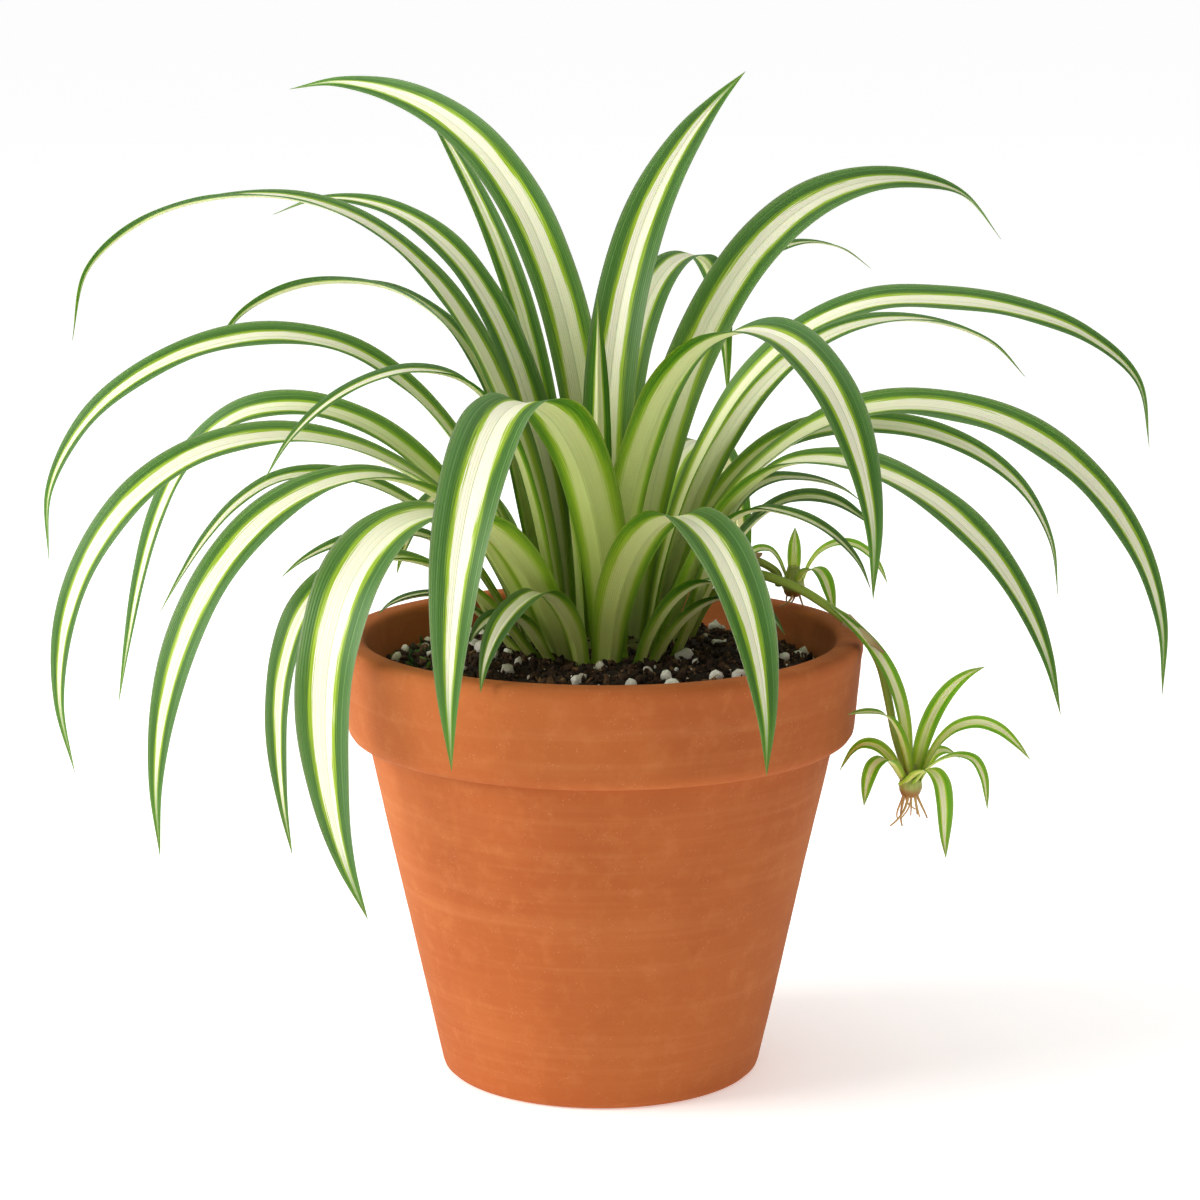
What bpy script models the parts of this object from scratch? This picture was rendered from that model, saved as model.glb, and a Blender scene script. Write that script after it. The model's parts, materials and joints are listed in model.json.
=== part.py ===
"""Potted spider plant: a clay pot, its soil, and a variegated plant with two plantlets on runners.

The origin is under the middle of the pot, on the surface that the pot stands on. +Z is up, +X is the
plant's right and -Y is its front. Blender's unit is the metre. The dimensions below are in millimetres
and degrees, and MM turns them into metres.
"""
from dataclasses import dataclass
from math import cos, pi, radians, sin

import bmesh
import bpy
from mathutils import Matrix, Vector

MM = 0.001
GAP = 0.3                       # clearance between pieces that touch

# Pot: a turned clay body with a thick rim band, a rounded foot and one drain hole
POT_HEIGHT = 136.0
RIM_RADIUS = 80.0               # outside of the band at the lip
BAND_FOOT_RADIUS = 77.7         # outside of the band at its lower corner
BAND_HEIGHT = 31.0
BAND_CORNER = 4.0               # rounding under the band
LIP_ROUND = 2.2
BODY_TOP_RADIUS = 71.6          # body just under the band
FOOT_RADIUS = 48.7              # body carried down to the floor
FOOT_ROUND = 3.0
WALL = 6.7
FLOOR_THICKNESS = 7.0
DRAIN_RADIUS = 7.0
POT_SEGMENTS = 48

# Soil: fills the pot to a little below the rim and rises towards the crown
SOIL_WALL_HEIGHT = 125.0
SOIL_SHOULDER_HEIGHT = 130.5
SOIL_SHOULDER_RADIUS = 43.0
SOIL_SLOPE_RADIUS = 59.0        # where the slope from the wall to the shoulder bends
SOIL_TOP_HEIGHT = 132.0
CROWN_Y = 5.0                   # the crown stands a little behind the pot's axis
CROWN_RADIUS = 30.0
CROWN_FOOT_HEIGHT = 116.0
CROWN_EDGE_HEIGHT = 131.5
CROWN_TOP_HEIGHT = 133.5
CROWN_SEGMENTS = 36
CROWN_RINGS = 4                 # rings in the crown's domed top

# Blades
BLADE_STATIONS = 12
SMALL_BLADE_STATIONS = 8
BLADE_KEEL = 1.1                # thickness of a wide blade at its middle
KEEL_WIDTH = 15.0               # width of a blade from which its keel has that thickness
THIN_KEEL = 0.35                # share of that thickness that the narrowest blade keeps
CHANNEL = 0.30                  # depth of the V across a blade, over its half width, at the base
CHANNEL_TIP = 0.12
WIDEST_AT = 0.45                # how far along a blade its full width lies
NECK = 0.55                     # width of a blade at its base, over its full width
TAPER = 2.4                     # how late a blade narrows towards its tip
TIP_POINT = 8                   # how late the last narrowing to the point begins
LEAST_LEAN = 10.0               # lean from which a blade's underside lifts its base off the crown
SWEEP_STEPS = 50                # fine steps along a blade's line before it is divided evenly

# Runners and plantlets
RUNNER_RADIUS = 1.35
RUNNER_SIDES = 8
RUNNER_STEPS = 3                # steps between two points of a runner's route
COLLAR_RADIUS = 3.6
COLLAR_DEPTH = 4.5
COLLAR_FOOT = 0.6               # radius of the collar's foot over the collar's own
COLLAR_SEGMENTS = 12
ROOT_RADIUS = 0.55
ROOT_TIP = 0.45                 # radius of a root's end over its start
ROOT_SIDES = 6


@dataclass
class Blade:
    """One leaf. It leaves the crown at `lean` from upright, passes its crest level and ends at its tip.

    `crest` and `tip` are (out, up): the distance from the crown's axis along the heading, and the height.
    A blade without a crest is one sweep from base to tip. `droop` is the tip's direction below level.
    """
    name: str
    heading: float              # direction of growth seen from above, 0 is +X and 90 is +Y
    ring: float                 # distance of the base from the crown's axis
    lean: float
    crest: tuple
    tip: tuple
    droop: float
    width: float
    at: float = None            # where round the crown the base stands, the heading if not given
    rise: float = 1.0           # above 1 keeps the first stretch straight for longer
    fold: float = 1.0           # below 1 turns over sharply at the crest
    fall: float = 1.0           # above 1 keeps the tip straight for longer
    turn: float = 0.0           # roll of the blade about its own length, reached at the tip
    face: float = 0.0           # roll of the blade at its base


LEAVES = [
    # upright leaves from the middle
    Blade("leaf_upright_left", 138, 12, 0, (114, 299), (136, 296), 30, 15, at=95, rise=1.55, fold=0.95,
          face=-38, turn=-38),
    Blade("leaf_upright_left_rear", 127, 17, 0, None, (100, 297), -38, 9, at=138, rise=1.3,
          face=-20, turn=-20),
    Blade("leaf_upright_right", 55, 7, -8, None, (80, 303), -25, 16, rise=1.5, face=28, turn=20),
    Blade("young_spear", 262, 5, 0, None, (7, 240), -88, 8),
    Blade("young_leaf_middle", 118, 14, 0, None, (26, 226), -76, 8, at=100),
    Blade("leaf_rear_hook", 62, 16, 3, (60, 246), (88, 196), 88, 13, at=80, face=12),

    # left side, from the highest to the lowest
    Blade("leaf_left_1", 172, 13, 6, (106, 268), (165, 222), 95, 14, at=176, face=-30, turn=8),
    Blade("leaf_left_2", 155, 14, 5, (90, 265), (114, 259), 30, 13, at=140, face=-24, turn=-20),
    Blade("leaf_left_3", 164, 19, 8, (80, 241), (127, 217), 62, 13, at=157, face=-20, turn=20),
    Blade("leaf_left_4", 187, 17, 16, (98, 228), (167, 161), 100, 14, at=182, face=-10, turn=-32, fold=0.95),
    Blade("leaf_left_5", 208, 14, 14, (62, 220), (111, 190), 62, 9, turn=-15),
    Blade("leaf_left_6", 170, 23, 22, (97, 203), (155, 106), 80, 13, face=-10, turn=-50),
    Blade("leaf_left_7", 200, 20, 20, (103, 201), (164, 104), 108, 15, at=198, face=-8, turn=-30),
    Blade("leaf_left_8", 218, 22, 28, (88, 192), (158, 90), 97, 17, at=215, turn=-16),
    Blade("leaf_left_9", 182, 25, 24, (88, 185), (135, 142), 60, 10, turn=-25),
    Blade("leaf_left_10", 189, 28.5, 42, (60, 168), (98, 155), 45, 9, at=188, turn=-20),
    Blade("leaf_left_11", 213, 27, 40, (77, 166), (108, 80), 102, 12, at=214, turn=-22, fall=1.1),
    Blade("leaf_left_12", 236, 24, 24, (90, 184), (118, 72), 122, 21, at=239, turn=-8, fall=1.1),

    # front
    Blade("leaf_front_1", 252, 18, 0, (78, 216), (132, 122), 102, 21, at=276, rise=1.3, fold=0.85),
    Blade("leaf_front_2", 247, 28, 16, (49, 156), (88, 134), 78, 10, at=257),
    Blade("leaf_front_3", 289, 26, 8, (76, 183), (138, 122), 97, 18, at=275),
    Blade("leaf_front_4", 318, 27, 22, (46, 157), (68, 142), 60, 10, at=298),
    Blade("leaf_front_5", 329, 28, 34, (46, 151), (64, 141), 55, 10, at=307),
    Blade("leaf_front_6", 226, 28, 42, (42, 147), (56, 140), 60, 9, at=233),
    Blade("leaf_front_7", 195, 28, 46, (54, 150), (70, 144), 50, 9, at=201),

    # right side, from the highest to the lowest
    Blade("leaf_right_1", 35, 12, 5, (110, 269), (160, 247), 62, 16, face=34, turn=34),
    Blade("leaf_right_2", 45, 15, 8, (92, 249), (125, 238), 36, 8, turn=12),
    Blade("leaf_right_3", 358, 15, 8, (94, 238), (166, 193), 97, 15, face=12, turn=30),
    Blade("leaf_right_4", 15, 17, 12, (95, 229), (138, 209), 58, 14, face=40, turn=0),
    Blade("leaf_right_5", 308, 14, 0, (74, 235), (123, 164), 98, 18, at=290, rise=1.1, fold=0.9, turn=14),
    Blade("leaf_right_6", 348, 18, 16, (96, 208), (171, 123), 95, 17, at=344, face=8, turn=36),
    Blade("leaf_right_7", 18, 20, 14, (80, 196), (154, 137), 90, 11, face=15, turn=50, fold=1.1),
    Blade("leaf_right_8", 332, 23, 24, (73, 194), (150, 125), 80, 17, at=324, turn=20),
    Blade("leaf_right_9", 346, 25, 30, (66, 180), (86, 170), 40, 13, at=346, turn=15),
    Blade("leaf_right_10", 20, 25, 36, (60, 180), (88, 170), 45, 9, turn=15),
    Blade("leaf_right_11", 327, 27, 32, (58, 179), (94, 158), 72, 9, at=332),

    # back
    Blade("leaf_back_1", 88, 20, 16, (72, 190), (124, 114), 90, 15),
    Blade("leaf_back_2", 66, 23, 26, (74, 184), (122, 122), 82, 13),
    Blade("leaf_back_3", 111, 21, 24, (74, 188), (124, 118), 86, 14),
    Blade("leaf_back_4", 134, 26, 36, (64, 172), (96, 140), 70, 11),
]


# Front plantlet: leaves measured from the top of its collar, on the collar's axis
FRONT_PLANTLET_AT = (93.5, -21.0, 94.5)
FRONT_PLANTLET_LEAVES = [
    Blade("plantlet_front_leaf_1", 172, 1.5, 0, None, (27, 55), -38, 4.8, at=130, rise=1.5,
          face=-40, turn=-40),
    Blade("plantlet_front_leaf_2", 18, 1.5, 8, None, (24, 34), -12, 4.8, rise=1.1, face=40, turn=40),
    Blade("plantlet_front_leaf_3", 350, 3.0, 18, (20, 19), (36, 8), 50, 4.8, at=354, face=20, turn=35),
    Blade("plantlet_front_leaf_4", 332, 3.0, 34, (17, 10), (25, -6), 85, 4.4, at=298, turn=15),
    Blade("plantlet_front_leaf_5", 296, 3.1, 48, (12, 6), (21, -19), 78, 5.0, at=252),
    Blade("plantlet_front_leaf_6", 222, 1.5, 14, (17, 24), (28, 25), 20, 4.6, at=260, turn=-20),
    Blade("plantlet_front_leaf_7", 150, 3.0, 30, (14, 10), (24, 0), 60, 4.0, at=150, face=-20, turn=-40),
    Blade("plantlet_front_leaf_8", 224, 3.0, 40, (13, 9), (21, -4), 80, 4.8, at=212, turn=-12),
    Blade("plantlet_front_leaf_9", 35, 3.0, 30, (12, 8), (20, 4), 40, 3.6, at=20, face=20, turn=30),
]
FRONT_ROOTS = [(200, 5.5, -10.0), (255, 3.5, -13.0), (300, 2.5, -14.0), (340, 4.0, -12.0), (60, 3.0, -9.0)]
FRONT_RUNNER = [
    (27.5, 7.0, 134.0), (33.5, 4.0, 146.0), (44.0, -3.0, 155.0), (58.0, -10.0, 152.5), (69.0, -14.0, 146.5),
    (77.5, -16.5, 140.0), (83.5, -17.5, 131.0), (86.5, -17.0, 120.0), (89.0, -15.5, 108.0),
    (91.8, -14.8, 98.5), (93.4, -15.2, 92.8),
]

# Back plantlet, resting over the rim behind the front one
BACK_PLANTLET_AT = (61.0, 42.0, 144.0)
BACK_PLANTLET_LEAVES = [
    Blade("plantlet_back_leaf_1", 80, 1.4, 4, None, (3, 17), -80, 3.6),
    Blade("plantlet_back_leaf_2", 350, 3.0, 16, (16, 13), (30, 0), 70, 4.2, face=15, turn=25),
    Blade("plantlet_back_leaf_3", 190, 3.0, 24, (10, 11), (19, 3), 60, 4.0, at=230, face=-15, turn=-20),
    Blade("plantlet_back_leaf_4", 300, 3.0, 32, (13, 6), (24, -7), 60, 4.6),
]
BACK_ROOTS = [(20, 3.0, -6.0), (250, 3.5, -7.0)]
BACK_RUNNER = [
    (20.0, 25.0, 134.0), (28.0, 29.0, 146.0), (38.0, 33.0, 152.5), (48.0, 36.5, 152.0), (55.5, 39.5, 147.5),
    (56.2, 41.2, 143.0),
]


def smooth(t):
    """Ease from 0 to 1."""
    t = min(max(t, 0.0), 1.0)
    return t * t * (3 - 2 * t)


def finish(name, colour, roughness):
    """A plain material with a colour and a roughness."""
    material = bpy.data.materials.new(name)
    material.use_nodes = True
    shader = material.node_tree.nodes["Principled BSDF"]
    shader.inputs["Base Color"].default_value = (*colour, 1)
    shader.inputs["Roughness"].default_value = roughness
    material.diffuse_color = (*colour, 1)
    return material


def place(name, bm, material, sharp=30):
    """Turn a mesh in the making into a named object in the scene."""
    mesh = bpy.data.meshes.new(name)
    bm.to_mesh(mesh)
    bm.free()
    mesh.materials.append(material)
    mesh.shade_smooth()
    mesh.set_sharp_from_angle(angle=radians(sharp))
    piece = bpy.data.objects.new(name, mesh)
    bpy.context.scene.collection.objects.link(piece)
    return piece


def round_corner(centre, radius, start, end, steps):
    """Points on a quarter turn or less of a profile, in (radius, height)."""
    turns = [radians(start + (end - start) * i / steps) for i in range(steps + 1)]
    return [(centre[0] + radius * cos(a), centre[1] + radius * sin(a)) for a in turns]


def turned(name, profile, segments, material, closed):
    """Spin a profile in (radius, height) round the vertical axis into one closed body."""
    bm = bmesh.new()
    points = [bm.verts.new((r * MM, 0, z * MM)) for r, z in profile]
    pairs = list(zip(points, points[1:])) + ([(points[-1], points[0])] if closed else [])
    edges = [bm.edges.new(pair) for pair in pairs]
    bmesh.ops.spin(bm, geom=points + edges, cent=(0, 0, 0), axis=(0, 0, 1), angle=2 * pi,
                   steps=segments, use_merge=True)
    bmesh.ops.remove_doubles(bm, verts=bm.verts, dist=GAP * MM / 30)
    bmesh.ops.dissolve_degenerate(bm, edges=bm.edges, dist=GAP * MM / 30)
    bmesh.ops.recalc_face_normals(bm, faces=bm.faces)
    return place(name, bm, material)


def body_radius(height):
    """Outside of the pot's body at a height, under the band and carried on up behind it."""
    return FOOT_RADIUS + (BODY_TOP_RADIUS - FOOT_RADIUS) * height / (POT_HEIGHT - BAND_HEIGHT)


def inner_radius(height):
    """Inside of the pot at a height."""
    return body_radius(height) - WALL


def make_pot(material):
    """The clay pot, with its drain hole."""
    band_foot = POT_HEIGHT - BAND_HEIGHT
    foot = (body_radius(FOOT_ROUND) - FOOT_ROUND, FOOT_ROUND)
    corner = (BAND_FOOT_RADIUS - BAND_CORNER, band_foot + BAND_CORNER)
    lip = (RIM_RADIUS - LIP_ROUND, POT_HEIGHT - LIP_ROUND)
    mouth = (inner_radius(POT_HEIGHT) + LIP_ROUND, POT_HEIGHT - LIP_ROUND)
    profile = [(DRAIN_RADIUS, 0)]
    profile += round_corner(foot, FOOT_ROUND, -90, -5, 3)
    profile += [(body_radius(band_foot), band_foot)]
    profile += round_corner(corner, BAND_CORNER, -90, 0, 4)
    profile += round_corner(lip, LIP_ROUND, 0, 90, 3)
    profile += round_corner(mouth, LIP_ROUND, 90, 180, 3)
    profile += [(inner_radius(FLOOR_THICKNESS), FLOOR_THICKNESS), (DRAIN_RADIUS, FLOOR_THICKNESS)]
    return turned("pot", profile, POT_SEGMENTS, material, closed=True)


def make_soil(material):
    """The soil, filling the pot around the crown's foot."""
    floor = FLOOR_THICKNESS + GAP
    profile = [
        (0, floor), (inner_radius(floor) - GAP, floor),
        (inner_radius(SOIL_WALL_HEIGHT) - GAP, SOIL_WALL_HEIGHT),
        (SOIL_SLOPE_RADIUS, (SOIL_WALL_HEIGHT + SOIL_SHOULDER_HEIGHT) / 2),
        (SOIL_SHOULDER_RADIUS, SOIL_SHOULDER_HEIGHT), (0, SOIL_TOP_HEIGHT),
    ]
    soil = turned("soil", profile, POT_SEGMENTS, material, closed=False)
    foot, side = CROWN_FOOT_HEIGHT - GAP, CROWN_RADIUS + GAP
    recess = [(0, foot), (side, foot), (side, POT_HEIGHT), (0, POT_HEIGHT)]
    cutter = turned("crown_recess_cutter", recess, CROWN_SEGMENTS, material, closed=False)
    cutter.location.y = CROWN_Y * MM
    cutter.hide_render = True
    cutter.display_type = "WIRE"
    cut = soil.modifiers.new("crown_recess", "BOOLEAN")
    cut.operation = "DIFFERENCE"
    cut.object = cutter
    return soil


def crown_height(distance):
    """Top of the crown at a distance from its axis."""
    return CROWN_TOP_HEIGHT - (CROWN_TOP_HEIGHT - CROWN_EDGE_HEIGHT) * (distance / CROWN_RADIUS) ** 2


def make_crown(material):
    """The short thick stem that the leaves grow from."""
    rings = [CROWN_RADIUS * (1 - i / CROWN_RINGS) for i in range(CROWN_RINGS + 1)]
    dome = [(distance, crown_height(distance)) for distance in rings]
    profile = [(0, CROWN_FOOT_HEIGHT), (CROWN_RADIUS, CROWN_FOOT_HEIGHT)] + dome
    return turned("crown", profile, CROWN_SEGMENTS, material, closed=False)


def between(start, start_pull, end, end_pull, steps):
    """Points on the cubic curve that leaves one place and reaches another with the given pulls."""
    points = []
    for i in range(steps + 1):
        t = i / steps
        away = start * (2 * t ** 3 - 3 * t ** 2 + 1) + start_pull * (t ** 3 - 2 * t ** 2 + t)
        points.append(away + end * (3 * t ** 2 - 2 * t ** 3) + end_pull * (t ** 3 - t ** 2))
    return points


def sweep(start, start_way, end, end_way, turn, pulls):
    """Points on a smooth curve between two places with a direction at each and a turn between them."""
    reach = (end - start).length / cos(turn / 4) ** 2
    return between(start, start_way * reach * pulls[0], end, end_way * reach * pulls[1], SWEEP_STEPS)


def evenly(points, count):
    """The same line with its points at equal steps along its length."""
    lengths = [0.0]
    for a, b in zip(points, points[1:]):
        lengths.append(lengths[-1] + (b - a).length)
    line, k = [], 0
    for i in range(count):
        goal = lengths[-1] * i / (count - 1)
        while k < len(points) - 2 and lengths[k + 1] < goal:
            k += 1
        line.append(points[k].lerp(points[k + 1], (goal - lengths[k]) / (lengths[k + 1] - lengths[k])))
    return line


def blade_line(blade, base_height, count):
    """The middle line of a blade in (out, aside, up), from its base to its tip."""
    lean, droop = radians(blade.lean), radians(blade.droop)
    apart = radians((blade.heading if blade.at is None else blade.at) - blade.heading)
    base = Vector((blade.ring * cos(apart), blade.ring * sin(apart), base_height))
    tip = Vector((blade.tip[0], 0, blade.tip[1]))
    base_way = Vector((sin(lean), 0, cos(lean)))
    tip_way = Vector((cos(droop), 0, -sin(droop)))
    if blade.crest is None:
        line = sweep(base, base_way, tip, tip_way, pi / 2 - lean + droop, (blade.rise, blade.fall))
    else:
        crest = Vector((blade.crest[0], 0, blade.crest[1]))
        level = Vector((1, 0, 0))
        line = sweep(base, base_way, crest, level, pi / 2 - lean, (blade.rise, blade.fold))
        line += sweep(crest, level, tip, tip_way, droop, (blade.fold, blade.fall))[1:]
    return evenly(line, count)


def blade_width(share):
    """Width of a blade over its full width, at a share of its length."""
    if share < WIDEST_AT:
        return NECK + (1 - NECK) * sin(pi / 2 * share / WIDEST_AT)
    taper = (share - WIDEST_AT) / (1 - WIDEST_AT)
    return (1 - taper ** TAPER) * (1 - taper ** TIP_POINT / 2)


def base_lift(blade):
    """Height of a blade's base line over the stem, which its keel clears by the gap."""
    return GAP + BLADE_KEEL * sin(radians(max(blade.lean, LEAST_LEAN)))


def make_blade(blade, origin, base_height, count, material):
    """One leaf: a shallow channel with thin edges, thickest along its middle, closing to a point."""
    line = blade_line(blade, base_height, count)
    heading = Matrix.Rotation(radians(blade.heading), 3, "Z")
    bm = bmesh.new()
    rows = []
    for i, middle in enumerate(line[:-1]):
        share = i / (count - 1)
        along = (line[i + 1] - line[max(i - 1, 0)]).normalized()
        aside = Vector((0, 1, 0))
        aside = (aside - along * aside.dot(along)).normalized()
        roll = Matrix.Rotation(radians(blade.face + (blade.turn - blade.face) * smooth(share)), 3, along)
        aside = roll @ aside
        upper = along.cross(aside)
        size = blade_width(share)
        half = blade.width * size / 2
        channel = half * (CHANNEL + (CHANNEL_TIP - CHANNEL) * share)
        keel = BLADE_KEEL * min(1.0, THIN_KEEL + (1 - THIN_KEEL) * size * blade.width / KEEL_WIDTH)
        row = [middle + aside * half + upper * channel, middle,
               middle - aside * half + upper * channel, middle - upper * keel]
        rows.append([bm.verts.new((heading @ point + origin) * MM) for point in row])
    tip = bm.verts.new((heading @ line[-1] + origin) * MM)
    for near, far in zip(rows, rows[1:]):
        for a, b in ((0, 1), (1, 2), (2, 3), (3, 0)):
            bm.faces.new((near[a], near[b], far[b], far[a]))
    for a, b in ((0, 1), (1, 2), (2, 3), (3, 0)):
        bm.faces.new((rows[-1][a], rows[-1][b], tip))
    bm.faces.new((rows[0][0], rows[0][3], rows[0][1]))
    bm.faces.new((rows[0][1], rows[0][3], rows[0][2]))
    bmesh.ops.recalc_face_normals(bm, faces=bm.faces)
    return place(blade.name, bm, material, sharp=60)


def make_leaves(material):
    """Every leaf of the mother plant, standing on the crown."""
    axis = Vector((0, CROWN_Y, 0))
    for blade in LEAVES:
        make_blade(blade, axis, crown_height(blade.ring) + base_lift(blade), BLADE_STATIONS, material)


def make_runner(name, route, material):
    """A round stem along a smooth curve through the points of its route."""
    points = [Vector(p) for p in route]
    line = []
    for i in range(len(points) - 1):
        before, after = points[max(i - 1, 0)], points[min(i + 2, len(points) - 1)]
        a, b = points[i], points[i + 1]
        line += between(a, (b - before) / 2, b, (after - a) / 2, RUNNER_STEPS)[:-1]
    line.append(points[-1])
    bm = bmesh.new()
    rings = []
    side = Vector((0, 1, 0))
    for i, middle in enumerate(line):
        along = (line[min(i + 1, len(line) - 1)] - line[max(i - 1, 0)]).normalized()
        side = (side - along * side.dot(along)).normalized()
        up = along.cross(side)
        ring = []
        for k in range(RUNNER_SIDES):
            a = 2 * pi * k / RUNNER_SIDES
            ring.append(bm.verts.new((middle + (side * cos(a) + up * sin(a)) * RUNNER_RADIUS) * MM))
        rings.append(ring)
    for near, far in zip(rings, rings[1:]):
        for k in range(RUNNER_SIDES):
            n = (k + 1) % RUNNER_SIDES
            bm.faces.new((near[k], near[n], far[n], far[k]))
    bm.faces.new(rings[0])
    bm.faces.new(rings[-1])
    bmesh.ops.recalc_face_normals(bm, faces=bm.faces)
    return place(name, bm, material, sharp=60)


def make_plantlet_crown(name, at, roots, material):
    """A plantlet's short stem: a collar with a blunt neck on it and tapering roots under it."""
    profile = [(0, -COLLAR_DEPTH), (COLLAR_RADIUS * COLLAR_FOOT, -COLLAR_DEPTH),
               (COLLAR_RADIUS, -COLLAR_DEPTH / 2), (COLLAR_RADIUS, 0), (0, 0)]
    collar = turned(name, profile, COLLAR_SEGMENTS, material, closed=False)
    collar.location = Vector(at) * MM
    for i, (heading, out, drop) in enumerate(roots):
        start = Vector((0, 0, -COLLAR_DEPTH / 2))
        end = Vector((out * cos(radians(heading)), out * sin(radians(heading)), drop))
        bm = bmesh.new()
        bmesh.ops.create_cone(bm, cap_ends=True, segments=ROOT_SIDES, radius1=ROOT_RADIUS * MM,
                              radius2=ROOT_RADIUS * ROOT_TIP * MM, depth=(end - start).length * MM)
        turn = (end - start).to_track_quat("Z", "Y").to_matrix().to_4x4()
        move = Matrix.Translation((Vector(at) + (start + end) / 2) * MM)
        bmesh.ops.transform(bm, matrix=move @ turn, verts=bm.verts)
        root = place(f"{name}_root_{i + 1}_cutter", bm, material)
        root.hide_render = True
        root.display_type = "WIRE"
        join = collar.modifiers.new(f"root_{i + 1}", "BOOLEAN")
        join.operation = "UNION"
        join.object = root
    return collar


def make_plantlet(name, at, blades, roots, stem, leaf):
    """A small rosette: its stem and its leaves, which stand on the collar."""
    make_plantlet_crown(f"{name}_crown", at, roots, stem)
    for blade in blades:
        make_blade(blade, Vector(at), base_lift(blade), SMALL_BLADE_STATIONS, leaf)


def main():
    """Clear the scene and build every piece."""
    for old in list(bpy.data.objects):
        bpy.data.objects.remove(old)
    clay = finish("clay", (0.66, 0.28, 0.13), 0.85)
    soil = finish("soil", (0.035, 0.022, 0.014), 0.95)
    stem = finish("stem", (0.35, 0.42, 0.12), 0.5)
    leaf = finish("leaf", (0.12, 0.30, 0.06), 0.45)
    make_pot(clay)
    make_soil(soil)
    crown = make_crown(stem)
    crown.location.y = CROWN_Y * MM
    make_leaves(leaf)
    make_runner("runner_front", FRONT_RUNNER, stem)
    make_plantlet("plantlet_front", FRONT_PLANTLET_AT, FRONT_PLANTLET_LEAVES, FRONT_ROOTS, stem, leaf)
    make_runner("runner_back", BACK_RUNNER, stem)
    make_plantlet("plantlet_back", BACK_PLANTLET_AT, BACK_PLANTLET_LEAVES, BACK_ROOTS, stem, leaf)


main()
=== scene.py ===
"""The looks of a potted spider plant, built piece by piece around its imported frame.

Everything is in metres in the frame's own axes: the pot stands on z = 0, +X is the plant's right and -Y
its front. Each class below makes one part of the plant: it reads where that part lies from the frame's
plain solids, builds a finer mesh there, and dresses it in a node material of its own.
"""
from __future__ import annotations

import json
import logging
from dataclasses import dataclass, field
from enum import Enum
from math import cos, hypot, pi, radians, sin
from typing import Sequence

import bmesh
import bpy
import numpy as np
from mathutils import Matrix, Vector, noise

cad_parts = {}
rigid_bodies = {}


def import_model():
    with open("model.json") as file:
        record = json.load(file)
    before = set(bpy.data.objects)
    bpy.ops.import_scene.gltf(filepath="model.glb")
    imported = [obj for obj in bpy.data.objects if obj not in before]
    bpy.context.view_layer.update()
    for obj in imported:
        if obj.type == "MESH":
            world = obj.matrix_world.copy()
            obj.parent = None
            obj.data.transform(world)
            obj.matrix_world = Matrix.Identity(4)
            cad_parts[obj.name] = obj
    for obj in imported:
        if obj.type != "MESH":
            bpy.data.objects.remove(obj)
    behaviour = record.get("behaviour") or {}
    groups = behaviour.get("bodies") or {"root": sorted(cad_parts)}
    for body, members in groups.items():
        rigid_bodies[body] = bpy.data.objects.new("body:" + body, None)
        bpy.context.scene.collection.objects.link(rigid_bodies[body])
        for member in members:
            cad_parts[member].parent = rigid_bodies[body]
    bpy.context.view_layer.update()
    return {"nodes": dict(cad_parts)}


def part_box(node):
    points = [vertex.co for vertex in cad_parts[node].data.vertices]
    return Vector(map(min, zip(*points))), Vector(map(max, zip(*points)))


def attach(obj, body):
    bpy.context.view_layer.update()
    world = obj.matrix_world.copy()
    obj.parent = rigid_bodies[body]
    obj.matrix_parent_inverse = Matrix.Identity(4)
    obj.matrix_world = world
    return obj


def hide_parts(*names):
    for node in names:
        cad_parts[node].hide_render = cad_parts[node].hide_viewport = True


for leftover in list(bpy.data.objects):
    bpy.data.objects.remove(leftover)
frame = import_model()

MM = 0.001
BODY = "root"
LOG = logging.getLogger("potted_spider_plant")

Colour = tuple[float, float, float]
Loop = list[tuple[float, float]]


# ---------------------------------------------------------------- small tools


def linear(code: str) -> Colour:
    """Turn a hex colour into linear light.

    Args:
        code: A colour such as "#4e7f3a".

    Returns:
        Its red, green and blue in linear light.
    """
    parts = [int(code[i:i + 2], 16) / 255 for i in (1, 3, 5)]
    return tuple(c / 12.92 if c <= 0.04045 else ((c + 0.055) / 1.055) ** 2.4 for c in parts)


def ease(low: float, high: float, values: np.ndarray) -> np.ndarray:
    """Rise smoothly between two values.

    Args:
        low: Where the rise starts, at 0.
        high: Where it ends, at 1.
        values: Where to read it.

    Returns:
        The height of the rise at each value.
    """
    t = np.clip((np.asarray(values) - low) / (high - low), 0, 1)
    return t * t * (3 - 2 * t)


def unit(rows: np.ndarray) -> np.ndarray:
    """Scale each row to length 1."""
    return rows / np.maximum(np.linalg.norm(rows, axis=-1, keepdims=True), 1e-12)


def spline(values: np.ndarray, places: np.ndarray) -> np.ndarray:
    """Read a smooth curve through evenly spaced values.

    Args:
        values: One row for each station.
        places: Where to read it, 0 at the first station and 1 at the last.

    Returns:
        One row for each place.
    """
    last = len(values) - 1
    at = np.clip(places * last, 0, last - 1e-9)
    k = at.astype(int)
    t = (at - k)[:, None]
    padded = np.vstack([2 * values[0] - values[1], values, 2 * values[-1] - values[-2]])
    a, b, c, d = (padded[k + i] for i in range(4))
    return (2 * b + (c - a) * t + (2 * a - 5 * b + 4 * c - d) * t ** 2 + (3 * b - a - 3 * c + d) * t ** 3) / 2


def line_length(points: np.ndarray) -> float:
    """Length of a line through points."""
    return float(np.linalg.norm(np.diff(points, axis=0), axis=1).sum())


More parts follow.
